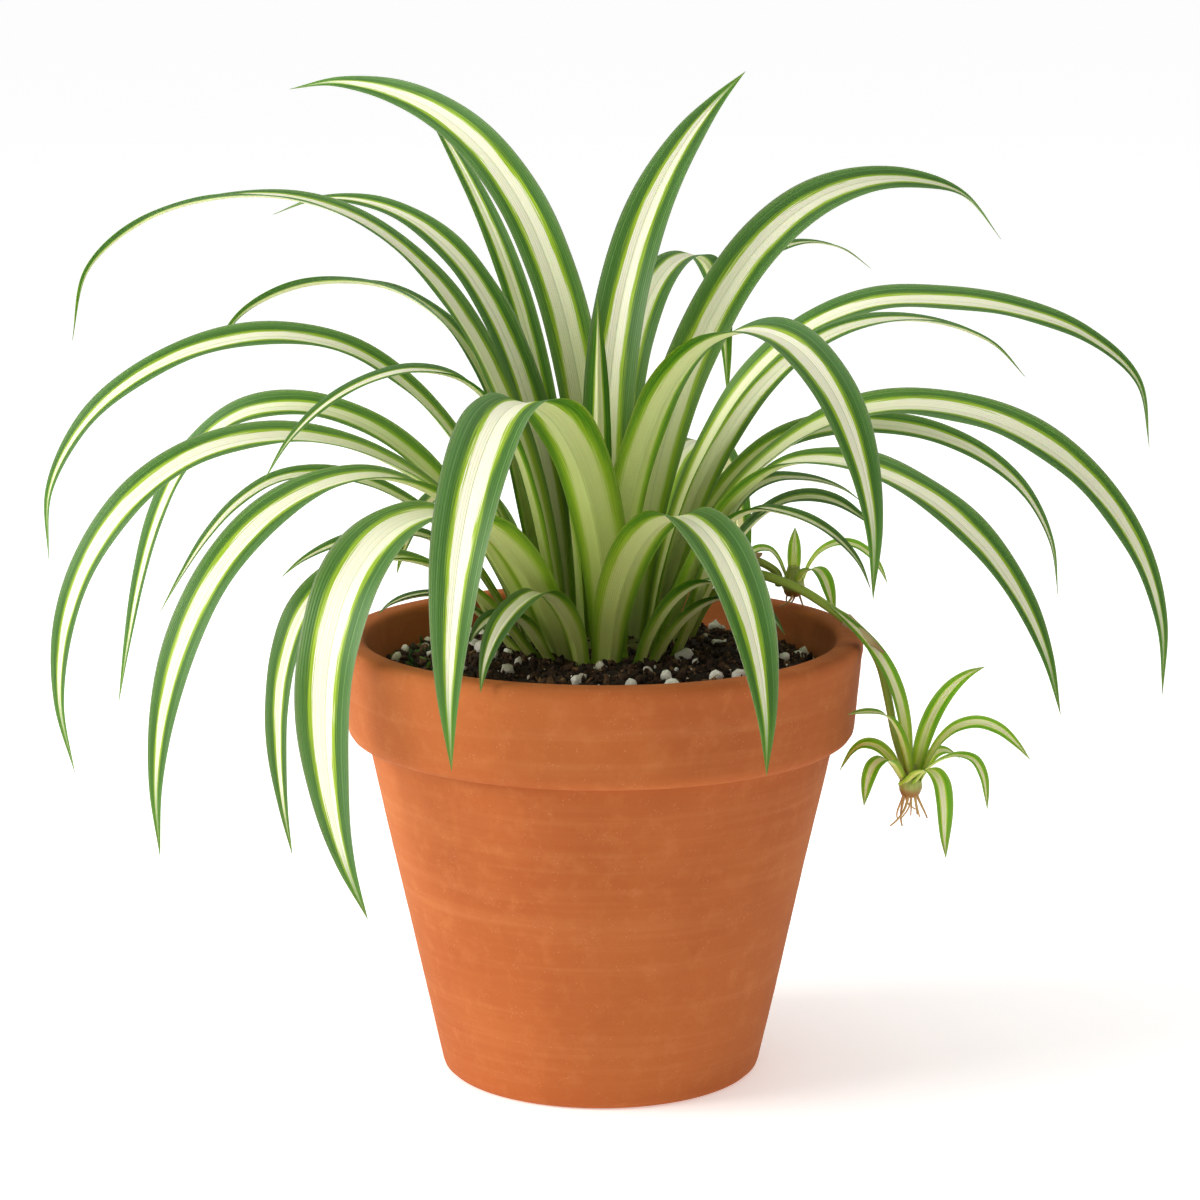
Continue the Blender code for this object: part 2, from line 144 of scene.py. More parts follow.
def make_piece(name: str, verts: np.ndarray, faces: list, materials: Sequence[bpy.types.Material],
               face_materials: np.ndarray | None = None, sharp: float = 50) -> bpy.types.Object:
    """Make a smooth shaded mesh object that rides on the plant's one body.

    Args:
        name: The piece's name.
        verts: Its points, one row each.
        faces: Its faces, as lists of point numbers.
        materials: Its materials.
        face_materials: Which material each face has, the first if not given.
        sharp: Angle in degrees from which an edge stays sharp.

    Returns:
        The new object.
    """
    mesh = bpy.data.meshes.new(name)
    mesh.from_pydata(np.asarray(verts).tolist(), [], faces)
    for material in materials:
        mesh.materials.append(material)
    if face_materials is not None:
        mesh.polygons.foreach_set("material_index", np.asarray(face_materials, np.int32))
    mesh.shade_smooth()
    mesh.set_sharp_from_angle(angle=radians(sharp))
    mesh.update()
    piece = bpy.data.objects.new(name, mesh)
    bpy.context.scene.collection.objects.link(piece)
    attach(piece, BODY)
    return piece


def mark(piece: bpy.types.Object, name: str, values: np.ndarray) -> None:
    """Write a vector for each point of a piece, for its material to read.

    Args:
        piece: The piece.
        name: The mark's name.
        values: Three numbers for each point.
    """
    made = piece.data.attributes.new(name, "FLOAT_VECTOR", "POINT")
    made.data.foreach_set("vector", np.asarray(values, np.float32).ravel())


def strip_faces(rows: int, columns: int, closed: bool) -> list:
    """Make the faces between neighbouring rows of points.

    Args:
        rows: How many rows.
        columns: How many points each row has.
        closed: Whether each row closes on itself.

    Returns:
        The faces, as lists of point numbers.
    """
    across = columns if closed else columns - 1
    return [(r * columns + c, r * columns + (c + 1) % columns,
             (r + 1) * columns + (c + 1) % columns, (r + 1) * columns + c)
            for r in range(rows - 1) for c in range(across)]


def tube(line: np.ndarray, radii: np.ndarray, sides: int) -> tuple[np.ndarray, list]:
    """Sweep a circle along a line, with flat ends.

    Args:
        line: The middle line's points.
        radii: The radius at each of them.
        sides: How many points the circle has.

    Returns:
        The points and faces of the closed tube.
    """
    along = unit(np.gradient(line, axis=0))
    side = np.array([0.0, 1.0, 0.0]) if abs(along[0][1]) < 0.9 else np.array([1.0, 0.0, 0.0])
    rings = []
    turns = 2 * pi * np.arange(sides) / sides
    for middle, way, radius in zip(line, along, radii):
        side = unit(side - way * side.dot(way))
        up = np.cross(way, side)
        rings.append(middle + radius * (np.cos(turns)[:, None] * side + np.sin(turns)[:, None] * up))
    faces = strip_faces(len(line), sides, closed=True)
    last = (len(line) - 1) * sides
    faces += [tuple(range(sides - 1, -1, -1)), tuple(range(last, last + sides))]
    return np.vstack(rings), faces


def joined(parts: Sequence[tuple[np.ndarray, list]]) -> tuple[np.ndarray, list]:
    """Put several meshes into one.

    Args:
        parts: The points and faces of each.

    Returns:
        The points and faces of the whole.
    """
    verts, faces, start = [], [], 0
    for points, polygons in parts:
        verts.append(points)
        faces += [tuple(start + i for i in polygon) for polygon in polygons]
        start += len(points)
    return np.vstack(verts), faces


def settled(piece: bpy.types.Object, slot: str, *nodes: str) -> bpy.types.Object:
    """Hide the frame's solids that a piece stands for, and report the piece.

    Args:
        piece: The piece.
        slot: The record's material slot; not used.
        nodes: The solids that it replaces.

    Returns:
        The same piece.
    """
    if nodes:
        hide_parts(*nodes)
    LOG.info("%s: %d points", piece.name, len(piece.data.vertices))
    return piece


# ---------------------------------------------------------------- reading the frame


@dataclass
class Solid:
    """A plain solid of the frame, as merged points and the links between them."""

    node: str
    points: np.ndarray = field(init=False)
    links: list[set[int]] = field(init=False)

    def __post_init__(self) -> None:
        """Read the node's mesh and merge the points that share a place."""
        mesh = frame["nodes"][self.node].data
        places: dict[tuple, int] = {}
        number = []
        for vertex in mesh.vertices:
            key = tuple(round(c / (MM / 100)) for c in vertex.co)
            number.append(places.setdefault(key, len(places)))
        self.points = np.array([key for key in places], float) * (MM / 100)
        self.links = [set() for _ in places]
        for edge in mesh.edges:
            a, b = (number[i] for i in edge.vertices)
            if a != b:
                self.links[a].add(b)
                self.links[b].add(a)

    def layers(self, start: set[int]) -> list[list[int]]:
        """Group the points by how many links they are from the starting ones.

        Args:
            start: The numbers of the starting points.

        Returns:
            The starting points, then those one link away, and so on.
        """
        found, seen = [sorted(start)], set(start)
        while True:
            step = {n for i in found[-1] for n in self.links[i]} - seen
            if not step:
                return found
            found.append(sorted(step))
            seen |= step

    def outline(self) -> Loop:
        """Read the closed profile of a turned solid.

        Returns:
            Its corners as (radius, height), in order round it.
        """
        ahead = {i for i, (x, y, _) in enumerate(self.points) if x > 0 and abs(y) < MM / 20}
        here = min(ahead, key=lambda i: (self.points[i][2], self.points[i][0]))
        order, left = [here], ahead - {here}
        while left:
            near = [i for i in left if i in self.links[order[-1]]]
            if not near:
                break
            here = min(near, key=lambda i: abs(self.points[i] - self.points[order[-1]]).sum())
            order.append(here)
            left.discard(here)
        return [(float(self.points[i][0]), float(self.points[i][2])) for i in order]

    def tube_line(self) -> np.ndarray:
        """Read the middle line of an eight sided tube.

        Returns:
            The middles of its rings, from the end nearest the crown.
        """
        sides = 8
        near = self.points[:, 0].argmin()
        apart = np.linalg.norm(self.points - self.points[near], axis=1)
        rings = self.layers(set(np.argsort(apart)[:sides].tolist()))
        return np.array([self.points[ring].mean(axis=0) for ring in rings])


@dataclass
class BladeLine:
    """A leaf's middle line with its width, channel and directions at each station."""

    middle: np.ndarray
    upper: np.ndarray
    half: np.ndarray
    channel: np.ndarray

    @classmethod
    def of(cls, node: str) -> BladeLine:
        """Read a leaf's stations back from its plain solid.

        Args:
            node: The leaf's node.

        Returns:
            Its line from base to tip.

        Raises:
            ValueError: The solid isn't built of rows of four points ending in one.
        """
        solid = Solid(node)
        for point in range(len(solid.points)):
            rows = solid.layers({point})
            if len(rows) > 3 and all(len(row) == 4 for row in rows[1:]):
                break
        else:
            raise ValueError(f"{node} isn't built as a blade")
        tip = solid.points[rows[0][0]]
        middles, uppers, halves, channels = [], [], [], []
        for row in reversed(rows[1:]):
            corners = solid.points[row]
            apart = [(np.linalg.norm(corners[a] - corners[b]), a, b) for a in range(4) for b in range(a)]
            width, a, b = max(apart)
            centre = (corners[a] + corners[b]) / 2
            rest = sorted((c for i, c in enumerate(corners) if i not in (a, b)),
                          key=lambda c: np.linalg.norm(c - centre))
            middles.append(rest[0])
            uppers.append(unit(rest[0] - rest[1]))
            halves.append(width / 2)
            channels.append(np.linalg.norm(rest[0] - centre))
        return cls(np.array(middles + [tip]), np.array(uppers + uppers[-1:]),
                   np.array(halves + [0.0]), np.array(channels + [0.0]))


# ---------------------------------------------------------------- materials


class Graph:
    """A node material in the making, with short calls for the nodes that the finishes use."""

    def __init__(self, name: str) -> None:
        """Start a material that has only its Principled shader.

        Args:
            name: The material's name.
        """
        self.material = bpy.data.materials.new(name)
        self.material.use_nodes = True
        self.tree = self.material.node_tree
        self.shader = self.tree.nodes["Principled BSDF"]

    def node(self, kind: str, sockets: dict, **settings: object) -> bpy.types.Node:
        """Add a node.

        Args:
            kind: The node's type without its ShaderNode prefix.
            sockets: Values or links for its inputs, by name or number.
            settings: Its own settings.

        Returns:
            The new node.
        """
        made = self.tree.nodes.new("ShaderNode" + kind)
        for key, value in settings.items():
            setattr(made, key, value)
        for key, value in sockets.items():
            if isinstance(value, bpy.types.NodeSocket):
                self.tree.links.new(value, made.inputs[key])
            else:
                made.inputs[key].default_value = value
        return made

    def math(self, operation: str, *values: object) -> bpy.types.NodeSocket:
        """One step of arithmetic."""
        return self.node("Math", dict(enumerate(values)), operation=operation).outputs[0]

    def step(self, value: object, low: float, high: float, to_low: float = 0.0,
             to_high: float = 1.0) -> bpy.types.NodeSocket:
        """Rise smoothly as a value goes from one bound to another.

        Args:
            value: What is followed.
            low: Where the rise starts.
            high: Where it ends; below `low` the rise runs backwards.
            to_low: Its height at the start.
            to_high: Its height at the end.

        Returns:
            The height of the rise.
        """
        sockets = {"Value": value, "From Min": low, "From Max": high, "To Min": to_low, "To Max": to_high}
        return self.node("MapRange", sockets, interpolation_type="SMOOTHSTEP").outputs[0]

    def mix(self, share: object, first: object, second: object, way: str = "MIX") -> bpy.types.NodeSocket:
        """Blend two colours.

        Args:
            share: How much of the second shows.
            first: The first colour.
            second: The second colour.
            way: How they blend.

        Returns:
            The blended colour.
        """
        pair = [(*c, 1.0) if isinstance(c, tuple) else c for c in (first, second)]
        sockets = {0: share, 6: pair[0], 7: pair[1]}
        return self.node("Mix", sockets, data_type="RGBA", blend_type=way).outputs[2]

    def vector(self, x: object = 0.0, y: object = 0.0, z: object = 0.0) -> bpy.types.NodeSocket:
        """Put three values together."""
        return self.node("CombineXYZ", {0: x, 1: y, 2: z}).outputs[0]

    def parts(self, vector: bpy.types.NodeSocket) -> list[bpy.types.NodeSocket]:
        """Take a vector apart."""
        return list(self.node("SeparateXYZ", {0: vector}).outputs)

    def attribute(self, name: str) -> bpy.types.NodeSocket:
        """A vector that the mesh carries."""
        return self.node("Attribute", {}, attribute_name=name).outputs["Vector"]

    def place(self) -> bpy.types.NodeSocket:
        """The point's place in the object, in metres."""
        return self.node("TexCoord", {}).outputs["Object"]

    def noise(self, vector: object, scale: float, detail: float = 2.0,
              roughness: float = 0.5) -> bpy.types.NodeSocket:
        """Make smooth noise about one half.

        Args:
            vector: The place.
            scale: How fine the noise is.
            detail: How many finer layers it has.
            roughness: How strong the finer layers are.

        Returns:
            The noise.
        """
        sockets = {"Vector": vector, "Scale": scale, "Detail": detail, "Roughness": roughness}
        return self.node("TexNoise", sockets).outputs[0]

    def drawn_noise(self, across: object, along: object, chance: object, fineness: tuple[float, float],
                    detail: float) -> bpy.types.NodeSocket:
        """Make noise that is finer in one direction than in the other.

        Args:
            across: Place in the first direction.
            along: Place in the second.
            chance: A value that gives each piece noise of its own.
            fineness: How fine the noise is in the two directions.
            detail: How many finer layers it has.

        Returns:
            The noise.
        """
        stretched = [self.math("MULTIPLY", place, scale) for place, scale in zip((across, along), fineness)]
        return self.noise(self.vector(*stretched, chance), 1.0, detail)

    def specks(self, vector: object, scale: float, size: float) -> bpy.types.NodeSocket:
        """Small round specks, 1 at their middles and 0 outside `size` cells from them."""
        cells = self.node("TexVoronoi", {"Vector": vector, "Scale": scale})
        return self.step(cells.outputs["Distance"], size, 0.0)

    def finish(self, base: object, roughness: object, height: object = None, relief: float = 0.0,
               strength: float = 1.0) -> bpy.types.Material:
        """Wire the shader and return the material.

        Args:
            base: The base colour.
            roughness: The roughness.
            height: The relief's height from 0 to 1, or None.
            relief: The relief's full height in metres.
            strength: How strongly the relief shades.

        Returns:
            The material.
        """
        for name, value in (("Base Color", base), ("Roughness", roughness)):
            socket = self.shader.inputs[name]
            if isinstance(value, bpy.types.NodeSocket):
                self.tree.links.new(value, socket)
            else:
                socket.default_value = (*value, 1) if isinstance(value, tuple) else value
        if height is not None:
            bump = self.node("Bump", {"Height": height, "Distance": relief, "Strength": strength})
            self.tree.links.new(bump.outputs[0], self.shader.inputs["Normal"])
        return self.material


class Side(Enum):
    """The two faces of a leaf."""

    UPPER = "upper"
    UNDER = "under"


class Age(Enum):
    """Whose leaf it is: the mother plant's or a plantlet's."""

    GROWN = "leaf"
    YOUNG = "young_leaf"


@dataclass(frozen=True)
class LeafFinish:
    """A striped leaf's face, shaded by where a point lies on the blade.

    Widths across the blade are shares of its half width, and places along it are shares of its length.
    """

    side: Side
    stripe: str
    stripe_foot: str
    vein: str
    line: str
    fringe: str
    margin: str
    # Colour of the margin's outer edge and blotches: a painted sheen on upper faces, painted shade on
    # undersides.
    edge_sheen_and_shade: str
    margin_foot: str
    tip: str
    roughness: float
    age: Age = Age.GROWN
    foot_spread: float = 1.5
    foot_start: float = 0.02
    foot_end: float = 0.55
    narrow_from: float = 0.62
    narrow_to: float = 0.55
    ragged: float = 0.34
    wander: float = 0.12
    fringe_width: float = 0.22
    fringe_foot_width: float = 0.5
    soft: float = 0.02
    soft_foot: float = 0.14
    midrib_half: float = 0.03
    rib_place: float = 0.74
    rib_waves: float = 75.0
    tip_from: float = 0.86
    relief: float = 0.12 * MM
    glow: float = 0.25
    glow_depth: float = 2 * MM
    glow_spread: Colour = (0.6, 1.0, 0.25)
    gloss: float = 0.35

    def past_stripe(self, g: Graph, away: object, along: object, stripe_half: object, chips: object,
                    wander: object) -> bpy.types.NodeSocket:
        """Measure how far a point lies outside the pale stripe's ragged edge.

        Args:
            g: The material in the making.
            away: The point's distance from the stripe's middle.
            along: Its place along the blade.
            stripe_half: The stripe's half width.
            chips: Fine noise that makes the edge ragged.
            wander: Slow noise that makes it wander.

        Returns:
            The distance, below 0 inside the stripe.
        """
        narrowing = g.step(along, self.narrow_from, 1.0, 1.0, self.narrow_to)
        half = g.math("MULTIPLY", stripe_half, narrowing)
        half = g.math("MULTIPLY", half, g.step(along, self.foot_end, 0.04, 1.0, self.foot_spread))
        depth = g.math("SUBTRACT", away, half)
        depth = g.math("MULTIPLY_ADD", g.math("SUBTRACT", chips, 0.5), self.ragged, depth)
        return g.math("MULTIPLY_ADD", g.math("SUBTRACT", wander, 0.5), self.wander, depth)

    def margin_colour(self, g: Graph, away: object, depth: object, foot: object, threads: object,
                      blotch: object, wander: object) -> bpy.types.NodeSocket:
        """Colour the green margin, with a painted sheen at the outer edge and in blotches on upper faces and
        painted shade there on undersides, its paler rib and the yellow-green fringe beside the stripe.

        Args:
            g: The material in the making.
            away: The point's distance from the stripe's middle.
            depth: Its distance outside the stripe.
            foot: How near the leaf's foot it is, from 0 to 1.
            threads: Noise drawn out along the blade.
            blotch: Soft noise.
            wander: Slow noise.

        Returns:
            The colour.
        """
        # The outer edge and soft blotches blend towards painted light: a painted sheen on upper faces,
        # painted shade on undersides.
        margin = g.mix(g.step(away, 0.55, 0.98), linear(self.margin), linear(self.edge_sheen_and_shade))
        margin = g.mix(g.step(blotch, 0.35, 0.7, 0.0, 0.3), margin, linear(self.edge_sheen_and_shade))
        margin = g.mix(g.math("MULTIPLY", foot, 0.75), margin, linear(self.margin_foot))
        rib = g.math("ABSOLUTE", g.math("SUBTRACT", away, self.rib_place))
        rib = g.math("MULTIPLY", g.step(rib, 0.02, 0.004), g.step(wander, 0.35, 0.6, 0.1, 0.6))
        margin = g.mix(rib, margin, linear(self.line))
        margin = g.mix(g.step(threads, 0.45, 0.8, 0.0, 0.16), margin, linear(self.line))
        width = g.step(foot, 0.0, 1.0, self.fringe_width, self.fringe_foot_width)
        return g.mix(g.step(depth, width, 0.02, 0.0, 0.9), margin, linear(self.fringe))

    def build(self) -> bpy.types.Material:
        """Make the material.

        Returns:
            A material that reads the `blade` and `leaf` marks of a blade's points.
        """
        g = Graph(f"{self.age.value}_{self.side.value}")
        across, along, metres = g.parts(g.attribute("blade"))
        stripe_half, offset, chance = g.parts(g.attribute("leaf"))
        shifted = g.math("SUBTRACT", across, offset)
        away = g.math("ABSOLUTE", shifted)
        chips = g.drawn_noise(across, metres, chance, (26.0, 55.0), 3)
        wander = g.drawn_noise(g.math("SIGN", shifted), metres, chance, (1.0, 14.0), 2)
        threads = g.drawn_noise(across, metres, chance, (60.0, 6.0), 1)
        blotch = g.drawn_noise(across, metres, chance, (3.0, 25.0), 3)
        depth = self.past_stripe(g, away, along, stripe_half, chips, wander)
        foot = g.step(along, self.foot_end, self.foot_start)

        stripe = g.mix(foot, linear(self.stripe), linear(self.stripe_foot))
        stripe = g.mix(g.step(threads, 0.52, 0.75, 0.0, 0.45), stripe, linear(self.vein))
        midrib = g.step(g.math("ABSOLUTE", across), self.midrib_half, 0.006, 0.0, 0.6)
        stripe = g.mix(midrib, stripe, linear(self.vein))
        margin = self.margin_colour(g, away, depth, foot, threads, blotch, wander)
        soft = g.step(foot, 0.0, 1.0, self.soft, self.soft_foot)
        base = g.mix(g.step(depth, g.math("MULTIPLY", soft, -1.0), soft), stripe, margin)
        base = g.mix(g.step(along, self.tip_from, 1.0, 0.0, 0.85), base, linear(self.tip))

        ribs = g.math("SINE", g.math("MULTIPLY", across, self.rib_waves))
        height = g.math("MULTIPLY_ADD", ribs, 0.3, g.math("MULTIPLY_ADD", threads, 0.6, midrib))
        rough = g.math("MULTIPLY_ADD", blotch, 0.14, self.roughness - 0.07)
        g.shader.inputs["Specular IOR Level"].default_value = self.gloss
        g.shader.inputs["Subsurface Weight"].default_value = self.glow
        g.shader.inputs["Subsurface Radius"].default_value = self.glow_spread
        g.shader.inputs["Subsurface Scale"].default_value = self.glow_depth
        return g.finish(base, rough, height, self.relief, 0.7)


# Each face's edge colour is painted light: a bluish painted sheen on the upper faces, darker painted shade on
# the undersides.
UPPER_FACE = LeafFinish(
    Side.UPPER, stripe="#ecebd2", stripe_foot="#d6df94", vein="#c6cba2", line="#86a56a", fringe="#a6bd33",
    margin="#456a25", edge_sheen_and_shade="#527545", margin_foot="#769a30", tip="#588a2c", roughness=0.42)
UNDER_FACE = LeafFinish(
    Side.UNDER, stripe="#e9ecbc", stripe_foot="#cbd67e", vein="#c3cf88", line="#6f9f3a", fringe="#a9c23a",
    margin="#437314", edge_sheen_and_shade="#2f5e0a", margin_foot="#7ea234", tip="#588a2c", roughness=0.5,
    foot_spread=1.75)
YOUNG_UPPER_FACE = LeafFinish(
    Side.UPPER, stripe="#f5f8c9", stripe_foot="#e3ee8e", vein="#d7e394", line="#97c44c", fringe="#c2de46",
    margin="#69a326", edge_sheen_and_shade="#68a032", margin_foot="#a9cc48", tip="#79b036", roughness=0.42,
    age=Age.YOUNG, glow=0.4)
YOUNG_UNDER_FACE = LeafFinish(
    Side.UNDER, stripe="#f4f9c0", stripe_foot="#dfec80", vein="#d0de82", line="#90c040", fringe="#c0dc44",
    margin="#649e20", edge_sheen_and_shade="#589418", margin_foot="#a6c944", tip="#79b036", roughness=0.5,
    age=Age.YOUNG, glow=0.4)


@dataclass(frozen=True)
class ClayFinish:
    """Unglazed fired clay with throwing streaks, pale specks and fine pits."""

    light: str = "#dc9a62"
    body: str = "#c47439"
    deep: str = "#ae5e29"
    speck: str = "#e0b48a"
    cloud_scale: float = 14.0
    ring_scale: float = 260.0
    round_scale: float = 9.0
    mottle_scale: float = 160.0
    grain_scale: float = 900.0
    relief: float = 0.18 * MM

    def build(self) -> bpy.types.Material:
        """Make the material.

        Returns:
            A material that needs nothing but the pot's own place.
        """
        g = Graph("fired_clay")
        place = g.place()
        x, y, z = g.parts(place)
        clouds = g.noise(place, self.cloud_scale, 4, 0.55)
        scales = (self.round_scale, self.round_scale, self.ring_scale)
        drawn = [g.math("MULTIPLY", axis, scale) for axis, scale in zip((x, y, z), scales)]
        streaks = g.noise(g.vector(*drawn), 1.0, 4, 0.6)
        grain = g.noise(place, self.grain_scale, 3, 0.7)
        mottle = g.noise(place, self.mottle_scale, 3, 0.6)
        base = g.mix(g.step(clouds, 0.15, 0.8), linear(self.deep), linear(self.body))
        base = g.mix(g.step(streaks, 0.42, 0.78, 0.0, 0.18), base, linear(self.light))
        base = g.mix(g.step(mottle, 0.45, 0.8, 0.0, 0.2), base, linear(self.light))
        base = g.mix(g.step(grain, 0.5, 0.8, 0.0, 0.3), base, linear(self.deep))
        rare = g.step(g.noise(place, 210.0, 1), 0.55, 0.62)
        specks = g.math("MULTIPLY", g.specks(place, self.grain_scale, 0.3), rare)
        base = g.mix(g.math("MULTIPLY", specks, 0.3), base, linear(self.speck))
        height = g.math("MULTIPLY_ADD", grain, 0.35, g.math("MULTIPLY", streaks, 0.65))
        rough = g.math("MULTIPLY_ADD", mottle, 0.15, 0.72)
        return g.finish(base, rough, height, self.relief, 0.45)


@dataclass(frozen=True)
class EarthFinish:
    """Crumbly matter whose colour changes from bit to bit."""

    name: str
    dark: str
    mid: str
    pale: str
    pale_share: float
    roughness: float = 0.9
    grain_scale: float = 700.0
    relief: float = 0.3

    def build(self) -> bpy.types.Material:
        """Make the material.

        Returns:
            A material that reads the `bit` mark, whose x is each bit's own chance.
        """
        g = Graph(self.name)
        chance = g.parts(g.attribute("bit"))[0]
        place = g.place()
        grain = g.noise(place, self.grain_scale, 4, 0.65)
        base = g.mix(g.step(chance, 0.0, 1.0 - self.pale_share), linear(self.dark), linear(self.mid))
        base = g.mix(g.step(chance, 1.0 - self.pale_share, 1.0), base, linear(self.pale))
        base = g.mix(g.step(grain, 0.4, 0.7, 0.0, 0.6), base, linear(self.dark))
        gloss = g.math("MULTIPLY_ADD", grain, -0.25, self.roughness + 0.1)
        return g.finish(base, gloss, grain, self.relief * MM, 0.8)


SOIL_BED = EarthFinish("potting_soil", "#22170f", "#35251a", "#4a3424", 0.2)
CRUMBS = EarthFinish("soil_crumbs", "#2c1e13", "#553c28", "#8c6c49", 0.22)
BARK = EarthFinish("bark", "#3a2617", "#6b4a2e", "#a88258", 0.3, 0.8, 500.0, 0.4)
PERLITE = EarthFinish("perlite", "#cfc8bb", "#ece8df", "#faf8f2", 0.5, 0.85, 900.0, 0.35)
MOSS = EarthFinish("moss", "#2c4a14", "#4d7a22", "#7fa63c", 0.3, 0.7, 900.0, 0.2)


@dataclass(frozen=True)
class StemFinish:
    """A smooth plant stem with fine lines along it, browner towards one end."""

    name: str
    green: str
    pale: str
    brown: str
    brown_from: float
    brown_to: float

    def build(self) -> bpy.types.Material:
        """Make the material.

        Returns:
            A material that reads the `stem` mark: share along, turn round it, and metres along.
        """
        g = Graph(self.name)
        along, turn, metres = g.parts(g.attribute("stem"))
        threads = g.noise(g.vector(g.math("MULTIPLY", turn, 9.0), g.math("MULTIPLY", metres, 30.0)), 1.0, 2)
        blotch = g.noise(g.place(), 180.0, 3)
        base = g.mix(g.step(threads, 0.35, 0.7), linear(self.green), linear(self.pale))
        browned = g.math("MULTIPLY_ADD", g.math("SUBTRACT", blotch, 0.5), 0.5, along)
        base = g.mix(g.step(browned, self.brown_from, self.brown_to), base, linear(self.brown))
        rough = g.math("MULTIPLY_ADD", blotch, 0.2, 0.38)
        return g.finish(base, rough, threads, 0.15 * MM, 0.6)


RUNNER_STEM = StemFinish("runner_stem", "#8fa63c", "#b4c25e", "#a99a4e", 0.85, 1.4)
COLLAR_STEM = StemFinish("collar_stem", "#a9b85c", "#c9c88a", "#a5793f", 0.5, 0.9)
SHEATH_STEM = StemFinish("sheath_stem", "#b9a877", "#cdbb92", "#a87f4c", 0.5, 1.1)
ROOT_STEM = StemFinish("root_stem", "#d0a264", "#e6cb98", "#b98448", 0.7, 1.5)
CROWN_STEM = StemFinish("crown_stem", "#6f7a35", "#8f8f50", "#4a3320", 0.1, 0.7)


# ---------------------------------------------------------------- the pot


@dataclass
class ClayPot:
    """The turned clay pot, with its thick rim band and faint throwing ridges."""

    segments: int = 224
    longest_step: float = 1.6 * MM
    ridge: float = 0.05 * MM
    wobble: float = 0.22 * MM
    lip_line_drop: float = 3.4 * MM
    lip_line_depth: float = 0.28 * MM
    lip_line_width: float = 0.7 * MM
    ridge_rise: float = 2.2 * MM
    wobble_rise: float = 45 * MM
    flat_foot: float = 2 * MM
    rim_depth: float = 5 * MM

    def fine_profile(self) -> np.ndarray:
        """Divide the long stretches of the frame's closed profile.

        Returns:
            One row of radius and height for each point.
        """
        loop = Solid("pot").outline()
        points: list[tuple[float, float]] = []
        for (r0, z0), (r1, z1) in zip(loop, loop[1:] + loop[:1]):
            steps = max(1, round(hypot(r1 - r0, z1 - z0) / self.longest_step))
            points += [(r0 + (r1 - r0) * i / steps, z0 + (z1 - z0) * i / steps) for i in range(steps)]
        return np.array(points)

    def __post_init__(self) -> None:
        """Read the pot's height and width from the frame."""
        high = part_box("pot")[1]
        self.top = high.z
        self.widest = high.x

    def relief(self, radius: float, height: float, turn: float) -> float:
        """Add up the throwing marks and the line under the lip.

        Args:
            radius: The place's distance from the axis.
            height: Its height.
            turn: Its direction from the axis, in radians.

        Returns:
            How far the surface stands out there.
        """
        if height < self.flat_foot:
            return 0.0
        slow_round = 0.35
        ring_place = Vector((cos(turn) * slow_round, sin(turn) * slow_round, height / self.ridge_rise))
        rings = noise.noise(ring_place) * self.ridge
        broad = noise.noise(Vector((cos(turn), sin(turn), height / self.wobble_rise))) * self.wobble
        from_line = (height - (self.top - self.lip_line_drop)) / self.lip_line_width
        outside = radius > self.widest - self.rim_depth
        groove = self.lip_line_depth * 2.718 ** (-from_line ** 2) if outside else 0.0
        return rings + broad - groove

    def build(self) -> bpy.types.Object:
        """Make the pot.

        Returns:
            The pot's object.
        """
        profile = self.fine_profile()
        ways = unit(np.roll(profile, -1, axis=0) - np.roll(profile, 1, axis=0))
        verts = []
        for (radius, height), (along_r, along_z) in zip(profile, ways):
            out_r, out_z = along_z, -along_r
            for k in range(self.segments):
                turn = 2 * pi * k / self.segments
                lift = self.relief(radius, height, turn)
                spread = radius + lift * out_r
                verts.append((spread * cos(turn), spread * sin(turn), max(0.0, height + lift * out_z)))
        count = len(profile)
        ring = self.segments
        faces = [((a * ring + k), (a * ring + (k + 1) % ring),
                  ((a + 1) % count * ring + (k + 1) % ring), ((a + 1) % count * ring + k))
                 for a in range(count) for k in range(ring)]
        pot = make_piece("clay_pot", np.array(verts), faces, [ClayFinish().build()], sharp=60)
        return settled(pot, "clay", "pot")


# ---------------------------------------------------------------- the soil


